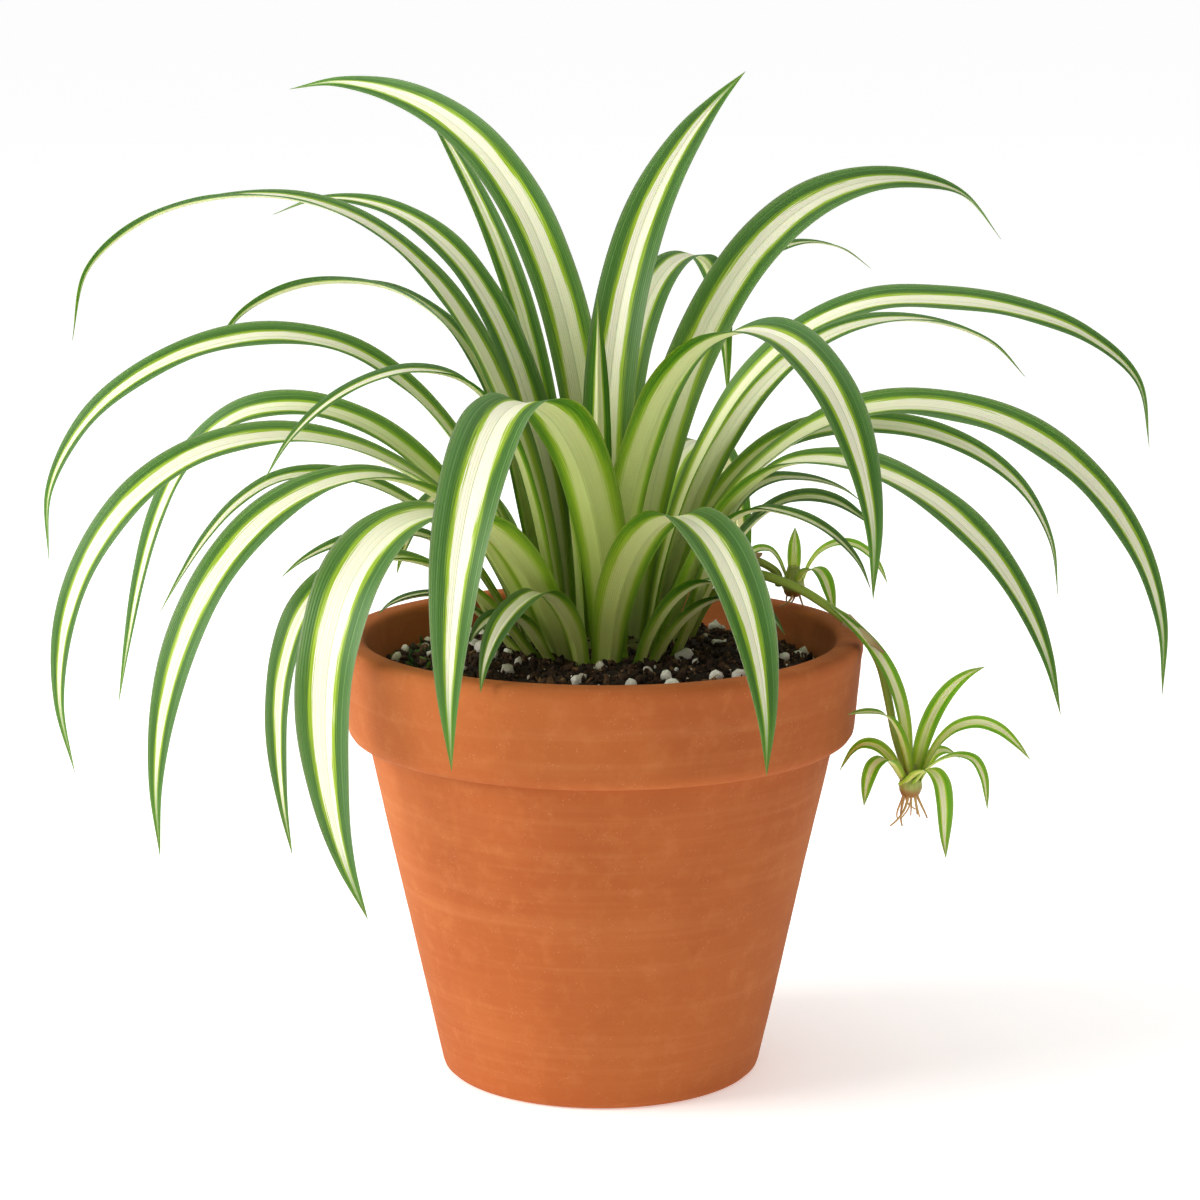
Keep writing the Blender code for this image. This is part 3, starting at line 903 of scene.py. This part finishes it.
@dataclass
class PottingSoil:
    """The soil bed with its crumbs, bark chips, perlite grains and moss."""

    seed: int = 11
    crumbs: int = 6400
    chips: int = 220
    grains: int = 210
    moss_bits: int = 90
    rings: int = 60
    spokes: int = 220
    roughness: float = 1.1 * MM
    wall_gap: float = 0.4 * MM
    broad_lump: float = 7 * MM
    small_lump: float = 2.5 * MM
    settled_by: float = 0.8 * MM

    def __post_init__(self) -> None:
        """Read the bed's height from the frame and start the random draws."""
        soil, crown = Solid("soil"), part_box("crown")
        self.rng = np.random.default_rng(self.seed)
        self.middle = (crown[0] + crown[1]) / 2
        self.crown_radius = (crown[1].x - crown[0].x) / 2
        out = np.hypot(soil.points[:, 0], soil.points[:, 1])
        high = soil.points[:, 2] > crown[0].z + 5 * MM
        ring = high & (out > self.crown_radius + 10 * MM)
        rows = np.round(np.stack([out[ring], soil.points[ring, 2]], axis=1), 4)
        pairs = sorted({(float(r), float(z)) for r, z in rows})
        self.slope = np.array([(0.0, crown[1].z - 1 * MM)] + pairs)
        self.radius = self.slope[-1][0]
        self.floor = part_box("soil")[0].z
        self.foot_radius = float(out[soil.points[:, 2] < self.floor + 1 * MM].max())

    def height(self, x: float, y: float) -> float:
        """Find the height of the bed's surface at a place.

        Args:
            x: The place's distance to the right of the pot's axis.
            y: Its distance behind it.

        Returns:
            The height.
        """
        level = float(np.interp(hypot(x, y), self.slope[:, 0], self.slope[:, 1]))
        lumps = noise.noise(Vector((x, y, 0.0)) / self.broad_lump)
        lumps += noise.noise(Vector((x, y, 1.0)) / self.small_lump) * 0.6
        return level + lumps * self.roughness - self.settled_by

    def make_bed(self) -> bpy.types.Object:
        """Make the body of soil: a rough top, a wall beside the pot's and a flat underside.

        Returns:
            The bed's object.
        """
        verts = [(0.0, 0.0, self.height(0, 0))]
        reach = self.radius - self.wall_gap
        for i in range(1, self.rings + 1):
            for k in range(self.spokes):
                turn = 2 * pi * k / self.spokes
                x, y = (reach * i / self.rings * f for f in (cos(turn), sin(turn)))
                verts.append((x, y, self.height(x, y)))
        foot = self.foot_radius - self.wall_gap
        verts += [(foot * cos(2 * pi * k / self.spokes), foot * sin(2 * pi * k / self.spokes), self.floor)
                  for k in range(self.spokes)]
        rows = strip_faces(self.rings + 1, self.spokes, closed=True)
        faces = [tuple(i + 1 for i in face) for face in rows]
        faces += [(0, 1 + k, 1 + (k + 1) % self.spokes) for k in range(self.spokes)]
        last = 1 + self.rings * self.spokes
        faces.append(tuple(range(last + self.spokes - 1, last - 1, -1)))
        bed = make_piece("soil_bed", np.array(verts), faces, [SOIL_BED.build()])
        chance = [(noise.noise(Vector(v) / (4 * MM)) * 0.5 + 0.5, 0, 0) for v in verts]
        mark(bed, "bit", np.array(chance))
        return settled(bed, "soil", "soil")

    def lump(self, detail: int, rough: float, fine: float) -> tuple[np.ndarray, list]:
        """Shape a knobbly ball about 1 across, for one bit.

        Args:
            detail: How often the ball's faces are divided.
            rough: How deep its broad dents are.
            fine: How deep its small dents are.

        Returns:
            Its points and faces.
        """
        mesh = bpy.data.meshes.new("lump")
        bm = bmesh.new()
        bmesh.ops.create_icosphere(bm, subdivisions=detail, radius=0.5)
        shift = Vector(self.rng.uniform(0, 50, 3))
        for vertex in bm.verts:
            push = noise.noise(vertex.co * 2.2 + shift) * rough + noise.noise(vertex.co * 6 + shift) * fine
            vertex.co *= 1 + push
        bm.to_mesh(mesh)
        bm.free()
        points = np.array([v.co for v in mesh.vertices])
        faces = [tuple(p.vertices) for p in mesh.polygons]
        bpy.data.meshes.remove(mesh)
        return points, faces

    def spot(self, inner: float, outer: float) -> tuple[float, float]:
        """Draw a place on the bed.

        Args:
            inner: The least distance from the pot's axis.
            outer: The greatest.

        Returns:
            Its x and y.
        """
        out = np.sqrt(self.rng.uniform(inner ** 2, outer ** 2))
        turn = self.rng.uniform(0, 2 * pi)
        return out * cos(turn), out * sin(turn)

    def scatter(self, name: str, count: int, kinds: list, sizes: tuple[float, float], shape: tuple,
                sunk: float, finish: EarthFinish, where: tuple[float, float] = (0.0, 1.0),
                lean: float = 1.0, sector: tuple[float, float] | None = None) -> bpy.types.Object:
        """Strew bits over the bed as one piece.

        Args:
            name: The piece's name.
            count: How many bits.
            kinds: The lumps to choose from.
            sizes: Smallest and largest size in metres; small bits are commoner.
            shape: How long, broad and thick a bit is over its size.
            sunk: How much of its height lies in the soil.
            finish: Its finish.
            where: Nearest and farthest distance from the axis, over the bed's radius.
            lean: How far bits tip out of the level, 1 for any way up.
            sector: From and to which direction in degrees, all round if not given.

        Returns:
            The piece.
        """
        parts, chances = [], []
        for _ in range(count):
            points, faces = kinds[self.rng.integers(len(kinds))]
            size = sizes[0] + (sizes[1] - sizes[0]) * self.rng.uniform() ** 2.2
            x, y = self.spot(where[0] * self.radius, where[1] * self.radius - size / 2)
            if sector is not None:
                turn = radians(self.rng.uniform(*sector))
                x, y = hypot(x, y) * cos(turn), hypot(x, y) * sin(turn)
            tip_x, tip_y, spin = (self.rng.uniform(-pi, pi) * share for share in (lean, lean, 1.0))
            turned = Matrix.Rotation(spin, 3, "Z") @ Matrix.Rotation(tip_y, 3, "Y")
            turned = turned @ Matrix.Rotation(tip_x, 3, "X")
            own = points * size * np.array(shape) * self.rng.uniform(0.75, 1.25, 3)
            own = own @ np.array(turned).T
            lift = self.height(x, y) - own[:, 2].min() * (1 - sunk) * 0.5
            parts.append((own + np.array([x, y, lift]), faces))
            chances.append(np.full((len(points), 3), self.rng.uniform()))
        verts, faces = joined(parts)
        piece = make_piece(name, verts, faces, [finish.build()], sharp=70)
        mark(piece, "bit", np.vstack(chances))
        return settled(piece, "soil")

    def build(self) -> None:
        """Make the bed and everything that lies in it."""
        self.make_bed()
        coarse = [self.lump(1, 0.9, 0.5) for _ in range(10)]
        smooth = [self.lump(2, 0.4, 0.3) for _ in range(8)]
        self.scatter("soil_crumbs", self.crumbs, coarse, sizes=(0.6 * MM, 3.2 * MM), shape=(1.0, 0.8, 0.65),
                     sunk=0.3, finish=CRUMBS)
        self.scatter("bark_chips", self.chips, coarse, sizes=(2.0 * MM, 5.5 * MM), shape=(1.2, 0.5, 0.25),
                     sunk=0.2, finish=BARK, where=(0.3, 1.0), lean=0.25)
        self.scatter("perlite_grains", self.grains, smooth, sizes=(1.0 * MM, 5.0 * MM), shape=(1.0, 0.9, 0.8),
                     sunk=0.25, finish=PERLITE, where=(0.36, 0.98))
        self.scatter("moss_bits", self.moss_bits, coarse, sizes=(1.5 * MM, 4 * MM), shape=(1.6, 0.35, 0.3),
                     sunk=0.0, finish=MOSS, where=(0.75, 0.97), lean=0.5, sector=(118, 205))


# ---------------------------------------------------------------- leaves


@dataclass
class BladeRows:
    """A finished blade's rows: middle line, directions, widths and places along it."""

    middle: np.ndarray
    upward: np.ndarray
    aside: np.ndarray
    half: np.ndarray
    channel: np.ndarray
    shares: np.ndarray
    length: float


@dataclass
class LeafBlade:
    """One striped leaf, built along the frame's plain blade."""

    node: str
    seed: int
    stripe: float = 0.35
    row_step: float = 2.0 * MM
    least_rows: int = 16
    tip_crowding: float = 1.12
    sink: float = 5.0 * MM
    sunk_rows: int = 3
    foot_swell: float = 0.03
    thickness: float = 0.45 * MM
    keel: float = 0.45 * MM
    keel_width: float = 0.16
    crease: float = 0.10 * MM
    crease_width: float = 0.07
    channel_power: float = 1.35
    slim_half: float = 3 * MM
    ripple: float = 0.035
    wave_lengths: tuple[float, float] = (28 * MM, 60 * MM)
    widen: float = 1.0
    columns: tuple[float, ...] = (0.0, 0.05, 0.13, 0.25, 0.38, 0.52, 0.66, 0.8, 0.92, 1.0)

    def places(self, length: float) -> np.ndarray:
        """Space the blade's rows, closer together at the tip.

        Args:
            length: The blade's length.

        Returns:
            Each row's share of the length.
        """
        rows = max(self.least_rows, round(length / self.row_step))
        even = np.linspace(0, 1, rows)
        return 1 - (1 - even) ** self.tip_crowding

    def read_rows(self) -> BladeRows:
        """Read the frame's blade at fine steps and lead its foot down into the soil.

        Returns:
            The blade's rows, from the sunk foot to the tip.
        """
        stations = BladeLine.of(self.node)
        length = line_length(stations.middle)
        shares = self.places(length)
        middle = spline(stations.middle, shares)
        upward = unit(spline(stations.upper, shares))
        half = np.maximum(spline(stations.half[:, None], shares)[:, 0], 0) * self.widen
        half[-1] = 0.0
        channel = np.maximum(spline(stations.channel[:, None], shares)[:, 0], 0)
        foot_way = unit(middle[1] - middle[0])
        sunk = np.linspace(self.sink, 0, self.sunk_rows + 1)[:-1]
        middle = np.vstack([middle[0] - foot_way * s for s in sunk] + [middle])
        upward = np.vstack([upward[:1]] * len(sunk) + [upward])
        half = np.concatenate([half[0] * (1 + self.foot_swell * sunk / MM), half])
        channel = np.concatenate([np.full(len(sunk), channel[0]), channel])
        shares = np.concatenate([np.zeros(len(sunk)), shares])
        along = unit(np.gradient(middle, axis=0))
        aside = unit(np.cross(upward, along))
        return BladeRows(middle, np.cross(along, aside), aside, half, channel, shares, length)

    def shape(self, rows: BladeRows, us: np.ndarray, rng: np.random.Generator) -> np.ndarray:
        """Place the points of both faces: a channel with a crease and a keel, and gently waved edges.

        Args:
            rows: The blade's rows.
            us: Places across the upper face, from -1 to 1.
            rng: The leaf's random draws.

        Returns:
            One ring of points for each row but the tip, over the upper face and back under it.
        """
        metres = rows.shares * rows.length
        sag = np.abs(us) ** self.channel_power
        slim = np.clip(rows.half / self.slim_half, 0.15, 1)
        body = self.thickness * slim * (0.8 + 1.6 * np.exp(-rows.shares / 0.08))
        ridge = self.keel * slim
        phases = rng.uniform(0, 2 * pi, 4)
        waves = 2 * pi / (rng.uniform(self.wave_lengths[0] / MM, self.wave_lengths[1] / MM, 4) * MM)
        calm = ease(0.08, 0.3, rows.shares) * ease(1.0, 0.8, rows.shares)
        swings = np.sin(np.outer(waves, metres) + phases[:, None])
        left, right = swings[:2] + 0.5 * swings[2:]
        rings = []
        for r in range(len(rows.middle) - 1):
            edge = np.where(us < 0, left[r], right[r]) * self.ripple * rows.half[r] * calm[r]
            rise = rows.channel[r] * sag + edge * np.abs(us) ** 3
            rise -= self.crease * slim[r] * np.exp(-(us / self.crease_width) ** 2)
            spread = rows.middle[r] + np.outer(us * rows.half[r], rows.aside[r])
            deep = body[r] * (1 - us ** 4) * 0.9 + ridge[r] * np.exp(-(us / self.keel_width) ** 2)
            top = spread + np.outer(rise, rows.upward[r])
            bottom = spread[1:-1] + np.outer((rise - deep)[1:-1], rows.upward[r])
            rings.append(np.vstack([top, bottom[::-1]]))
        return np.array(rings)

    def build(self, upper: bpy.types.Material, under: bpy.types.Material) -> bpy.types.Object:
        """Make the leaf.

        Args:
            upper: The material of its upper face.
            under: The material of its underside.

        Returns:
            The leaf's object.
        """
        rng = np.random.default_rng(self.seed)
        rows = self.read_rows()
        us = np.array([-u for u in self.columns[::-1]] + list(self.columns[1:]))
        rings = self.shape(rows, us, rng)
        count, ring = rings.shape[:2]
        verts = np.vstack([rings.reshape(-1, 3), rows.middle[-1:]])
        tip = len(verts) - 1
        last = (count - 1) * ring
        faces = strip_faces(count, ring, closed=True)
        faces += [(last + c, last + (c + 1) % ring, tip) for c in range(ring)]
        faces.append(tuple(range(ring - 1, -1, -1)))
        kinds = [0 if c < len(us) - 1 else 1 for _ in range(count) for c in range(ring)] + [1]
        leaf = make_piece(f"{self.node}_blade", verts, faces, [upper, under], kinds, sharp=75)

        round_row = np.concatenate([us, us[1:-1][::-1]])
        metres = rows.shares * rows.length
        marks = [(u, rows.shares[r], metres[r]) for r in range(count) for u in round_row]
        mark(leaf, "blade", np.array(marks + [(0, 1, rows.length)]))
        own = (self.stripe * rng.uniform(0.85, 1.15), rng.uniform(-0.08, 0.08), rng.uniform(0, 60))
        mark(leaf, "leaf", np.tile(own, (len(verts), 1)))
        return settled(leaf, "leaf", self.node)


@dataclass
class Rosette:
    """Every leaf of the mother plant and the crown that they grow from."""

    seed: int = 100
    crown_segments: int = 72
    knob: float = 0.7 * MM

    def leaves(self) -> list[str]:
        """List the nodes that are the mother plant's own leaves."""
        return sorted(n for n in frame["nodes"] if n.startswith(("leaf_", "young_")))

    def make_crown(self) -> bpy.types.Object:
        """Make the low knobbly domed crown.

        Returns:
            The crown's object.
        """
        low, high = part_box("crown")
        middle = (low + high) / 2
        radius = (high.x - low.x) / 2
        steps = 14
        dome = []
        for i in range(steps + 1):
            out = 1 - i / steps
            dome.append((radius * out, high.z - 1.5 * MM - 2 * MM * out ** 2))
        profile = [(radius * 0.92, low.z)] + dome[:-1]
        ring = self.crown_segments
        verts, marks = [], []
        for i, (out, height) in enumerate(profile):
            for k in range(ring):
                turn = 2 * pi * k / ring
                knob = noise.noise(Vector((cos(turn) * 6, sin(turn) * 6, i * 0.7))) * self.knob
                reach = out + knob
                verts.append((middle.x + reach * cos(turn), middle.y + reach * sin(turn), height + knob))
                marks.append((out / radius, turn, height))
        verts.append((middle.x, middle.y, dome[-1][1]))
        marks.append((0, 0, 0))
        faces = strip_faces(len(profile), ring, closed=True)
        last = (len(profile) - 1) * ring
        faces += [(last + k, last + (k + 1) % ring, last + ring) for k in range(ring)]
        faces.append(tuple(range(ring - 1, -1, -1)))
        crown = make_piece("crown_stem", np.array(verts), faces, [CROWN_STEM.build()])
        mark(crown, "stem", np.array(marks))
        return settled(crown, "stem", "crown")

    def build(self, upper: bpy.types.Material, under: bpy.types.Material) -> None:
        """Make the crown and every leaf on it.

        Args:
            upper: The material of the leaves' upper faces.
            under: The material of their undersides.
        """
        self.make_crown()
        for number, node in enumerate(self.leaves()):
            LeafBlade(node, self.seed + number).build(upper, under)


# ---------------------------------------------------------------- runners and plantlets


@dataclass
class Runner:
    """A thin stem that carries a plantlet, with a sheath at its joints."""

    node: str
    joints: tuple[float, ...] = (0.45,)
    radius: float = 1.35 * MM
    sides: int = 16
    rows: int = 150
    joint_swell: float = 0.35 * MM
    joint_length: float = 0.02
    sheath_rows: int = 22
    sheath_columns: int = 11
    sheath_gap: float = 0.15 * MM
    sheath_thickness: float = 0.22 * MM
    sheath_flare: float = 1.3 * MM

    def build(self) -> bpy.types.Object:
        """Make the runner and its sheaths.

        Returns:
            The stem's object.
        """
        stations = Solid(self.node).tube_line()
        shares = np.linspace(0, 1, self.rows)
        line = spline(stations, shares)
        radii = self.radius * (1.12 - 0.28 * shares)
        for joint in self.joints:
            radii += self.joint_swell * np.exp(-((shares - joint) / self.joint_length) ** 2)
        verts, faces = tube(line, radii, self.sides)
        stem = make_piece(f"{self.node}_stem", verts, faces, [RUNNER_STEM.build()])
        length = line_length(line)
        marks = [(s, c * 6.0 / self.sides, s * length) for s in shares for c in range(self.sides)]
        mark(stem, "stem", np.array(marks))
        settled(stem, "stem", self.node)
        for number, joint in enumerate(self.joints):
            self.make_sheath(f"{self.node}_sheath_{number + 1}", line, radii, joint)
        return stem

    def make_sheath(self, name: str, line: np.ndarray, radii: np.ndarray, joint: float) -> None:
        """Make a papery pointed sheath that wraps the stem at a joint and opens a little along it.

        Args:
            name: The sheath's name.
            line: The stem's middle line.
            radii: The stem's radius at each of its points.
            joint: The joint's place along the stem.
        """
        start = round(joint * (self.rows - 1))
        path = line[start:start + self.sheath_rows]
        share = np.linspace(0, 1, len(path))
        along = unit(np.gradient(path, axis=0))
        up = unit(np.cross(along, np.tile([0.0, 1.0, 0.0], (len(path), 1))))
        up *= np.sign(up[:, 2:3] + 1e-9)
        side = np.cross(along, up)
        verts, marks = [], []
        arcs = np.linspace(-1, 1, self.sheath_columns)
        for layer in (0.0, self.sheath_thickness):
            for r, s in enumerate(share):
                wrap = radians(165) * (1 - s) ** 0.7 + radians(8)
                out = radii[start + r] + self.sheath_gap + layer + self.sheath_flare * s ** 2
                for a in arcs:
                    verts.append(path[r] + out * (cos(a * wrap) * up[r] + sin(a * wrap) * side[r]))
                    marks.append((s, a * 3, s * 0.01))
        rows, columns = len(path), len(arcs)
        shift = rows * columns
        inner = strip_faces(rows, columns, closed=False)
        outer = [tuple(i + shift for i in reversed(face)) for face in inner]
        rim = list(range(columns))
        rim += [r * columns + columns - 1 for r in range(1, rows)]
        rim += [(rows - 1) * columns + c for c in range(columns - 2, -1, -1)]
        rim += [r * columns for r in range(rows - 2, 0, -1)]
        walls = [(b, a, a + shift, b + shift) for a, b in zip(rim, rim[1:] + rim[:1])]
        sheath = make_piece(name, np.array(verts), inner + outer + walls, [SHEATH_STEM.build()])
        mark(sheath, "stem", np.array(marks))
        settled(sheath, "stem")


@dataclass
class Plantlet:
    """A small rosette on a runner: collar, aerial roots and leaves."""

    name: str
    seed: int
    root_count: int
    root_length: float
    collar_sides: int = 24
    collar_knob: float = 0.3 * MM
    root_rows: int = 18
    root_sides: int = 8
    root_radius: float = 0.42 * MM
    root_tip_radius: float = 0.2 * MM

    def __post_init__(self) -> None:
        """Read where the plantlet's own short crown stands in the frame."""
        low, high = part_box(f"{self.name}_crown")
        points = Solid(f"{self.name}_crown").points
        top_ring = points[points[:, 2] > high.z - 0.05 * MM]
        self.lowest = low.z
        self.middle = top_ring.mean(axis=0)
        self.radius = float(np.hypot(*(top_ring - self.middle)[:, :2].T).max())

    def make_collar(self) -> bpy.types.Object:
        """Make the short stem with its brown collar.

        Returns:
            The collar's object.
        """
        heights = np.linspace(-4.6, 5.0, 15)
        swell = ((-4.6, 0.55), (-3.6, 0.82), (-1.5, 1.0), (0, 0.95), (2, 0.75), (5, 0.5))
        widths = self.radius * np.interp(heights, *zip(*swell))
        line = np.array([self.middle + np.array([0, 0, h * MM]) for h in heights])
        verts, faces = tube(line, widths, self.collar_sides)
        for i in range(len(verts)):
            knob = noise.noise(Vector(verts[i]) / (1.1 * MM)) * self.collar_knob
            verts[i] += unit(verts[i] - self.middle) * knob
        brown = np.interp(heights, (-4.6, -1.0, 4.0), (1.0, 0.6, 0.0))
        marks = [(b, c / 4, h * MM) for b, h in zip(brown, heights) for c in range(self.collar_sides)]
        collar = make_piece(f"{self.name}_collar", verts, faces, [COLLAR_STEM.build()])
        mark(collar, "stem", np.array(marks))
        return settled(collar, "stem", f"{self.name}_crown")

    def make_roots(self) -> bpy.types.Object:
        """Make the thin roots that hang under the collar.

        Returns:
            The roots' object.
        """
        rng = np.random.default_rng(self.seed)
        steps = np.linspace(0, 1, self.root_rows)
        parts, marks = [], []
        for k in range(self.root_count):
            turn = 2 * pi * (k + rng.uniform(-0.3, 0.3)) / self.root_count
            reach = rng.uniform(0.15, 0.6) * self.root_length
            drop = rng.uniform(0.7, 1.1) * self.root_length
            out = self.radius * 0.5 + reach * steps ** 1.3
            curl = turn + rng.uniform(-0.9, 0.9) * steps ** 2
            depth = self.middle[2] - 3.2 * MM - drop * steps
            path = np.stack([self.middle[0] + out * np.cos(curl), self.middle[1] + out * np.sin(curl),
                             np.maximum(depth, self.lowest - 2 * MM)], axis=1)
            taper = self.root_radius + (self.root_tip_radius - self.root_radius) * steps
            parts.append(tube(path, taper * rng.uniform(0.8, 1.2), self.root_sides))
            marks += [(s, c / 2, s * drop) for s in steps for c in range(self.root_sides)]
        verts, faces = joined(parts)
        roots = make_piece(f"{self.name}_roots", verts, faces, [ROOT_STEM.build()])
        mark(roots, "stem", np.array(marks))
        return settled(roots, "stem")

    def build(self, upper: bpy.types.Material, under: bpy.types.Material) -> None:
        """Make the collar, the roots and every small leaf.

        Args:
            upper: The material of the leaves' upper faces.
            under: The material of their undersides.
        """
        self.make_collar()
        self.make_roots()
        nodes = sorted(n for n in frame["nodes"] if n.startswith(f"{self.name}_leaf_"))
        for number, node in enumerate(nodes):
            blade = LeafBlade(node, self.seed + number, stripe=0.34, row_step=0.8 * MM, sink=3 * MM,
                              thickness=0.3 * MM, keel=0.2 * MM, ripple=0.02, widen=1.22)
            blade.build(upper, under)


# ---------------------------------------------------------------- the studio


@dataclass
class Studio:
    """A plain pale floor, soft lights and the camera."""

    camera_place: tuple[float, float, float] = (-0.0003, -1.050, 0.352)
    camera_pitch: float = 11.086
    lens: float = 105.2
    sensor: float = 36.0
    floor_half: float = 80.0
    floor_colour: str = "#f6f6f6"
    near_glow: float = 0.4
    far_glow: float = 0.52
    near_reach: float = 0.12
    far_reach: float = 0.75
    sky: float = 0.5
    contrast: float = 0.85

    def make_floor(self) -> None:
        """Make a wide pale floor that glows a little less round the pot, so that its soft shadow shows."""
        size = self.floor_half
        mesh = bpy.data.meshes.new("studio_floor")
        corners = [(-size, -size, 0), (size, -size, 0), (size, size, 0), (-size, size, 0)]
        mesh.from_pydata(corners, [], [(0, 1, 2, 3)])
        g = Graph("studio_floor")
        g.shader.inputs["Emission Color"].default_value = (1, 1, 1, 1)
        x, y, _ = g.parts(g.place())
        away = g.math("SQRT", g.math("ADD", g.math("POWER", x, 2.0), g.math("POWER", y, 2.0)))
        glow = g.step(away, self.near_reach, self.far_reach, self.near_glow, self.far_glow)
        g.tree.links.new(glow, g.shader.inputs["Emission Strength"])
        mesh.materials.append(g.finish(linear(self.floor_colour), 0.9))
        floor = bpy.data.objects.new("studio_floor", mesh)
        bpy.context.scene.collection.objects.link(floor)

    def make_lamp(self, name: str, place: tuple, target: tuple, size: float, power: float) -> None:
        """Make a square soft lamp.

        Args:
            name: The lamp's name.
            place: Where it hangs.
            target: What it faces.
            size: How wide it is.
            power: Its power in watts.
        """
        lamp = bpy.data.lights.new(name, "AREA")
        lamp.size = size
        lamp.energy = power
        holder = bpy.data.objects.new(name, lamp)
        holder.location = place
        holder.rotation_euler = (Vector(target) - Vector(place)).to_track_quat("-Z", "Y").to_euler()
        bpy.context.scene.collection.objects.link(holder)

    def build(self) -> None:
        """Make the floor, the lights and the camera."""
        scene = bpy.context.scene
        self.make_floor()
        world = bpy.data.worlds.new("studio_sky")
        world.use_nodes = True
        background = world.node_tree.nodes["Background"]
        background.inputs["Color"].default_value = (1, 1, 1, 1)
        background.inputs["Strength"].default_value = self.sky
        scene.world = world
        self.make_lamp("key_softbox", place=(-1.5, -0.45, 0.95), target=(0, 0, 0.13), size=1.0, power=26)
        self.make_lamp("top_softbox", place=(0.1, 0.1, 1.6), target=(0, 0, 0.1), size=1.4, power=6)
        lens = bpy.data.cameras.new("camera")
        lens.lens = self.lens
        lens.sensor_width = self.sensor
        camera = bpy.data.objects.new("camera", lens)
        camera.location = self.camera_place
        camera.rotation_euler = (radians(90 - self.camera_pitch), 0, 0)
        scene.collection.objects.link(camera)
        scene.camera = camera
        scene.view_settings.view_transform = "Standard"
        scene.view_settings.gamma = self.contrast


def main() -> None:
    """Build the plant, its pot and the studio round them."""
    logging.basicConfig(level=logging.INFO, format="%(message)s")
    Studio().build()
    ClayPot().build()
    PottingSoil().build()
    upper, under = UPPER_FACE.build(), UNDER_FACE.build()
    Rosette().build(upper, under)
    Runner("runner_front").build()
    Runner("runner_back", joints=(0.5,)).build()
    young_upper, young_under = YOUNG_UPPER_FACE.build(), YOUNG_UNDER_FACE.build()
    front = Plantlet("plantlet_front", seed=300, root_count=9, root_length=9 * MM)
    front.build(young_upper, young_under)
    back = Plantlet("plantlet_back", seed=400, root_count=4, root_length=6 * MM)
    back.build(young_upper, young_under)


if __name__ == "__main__":
    main()
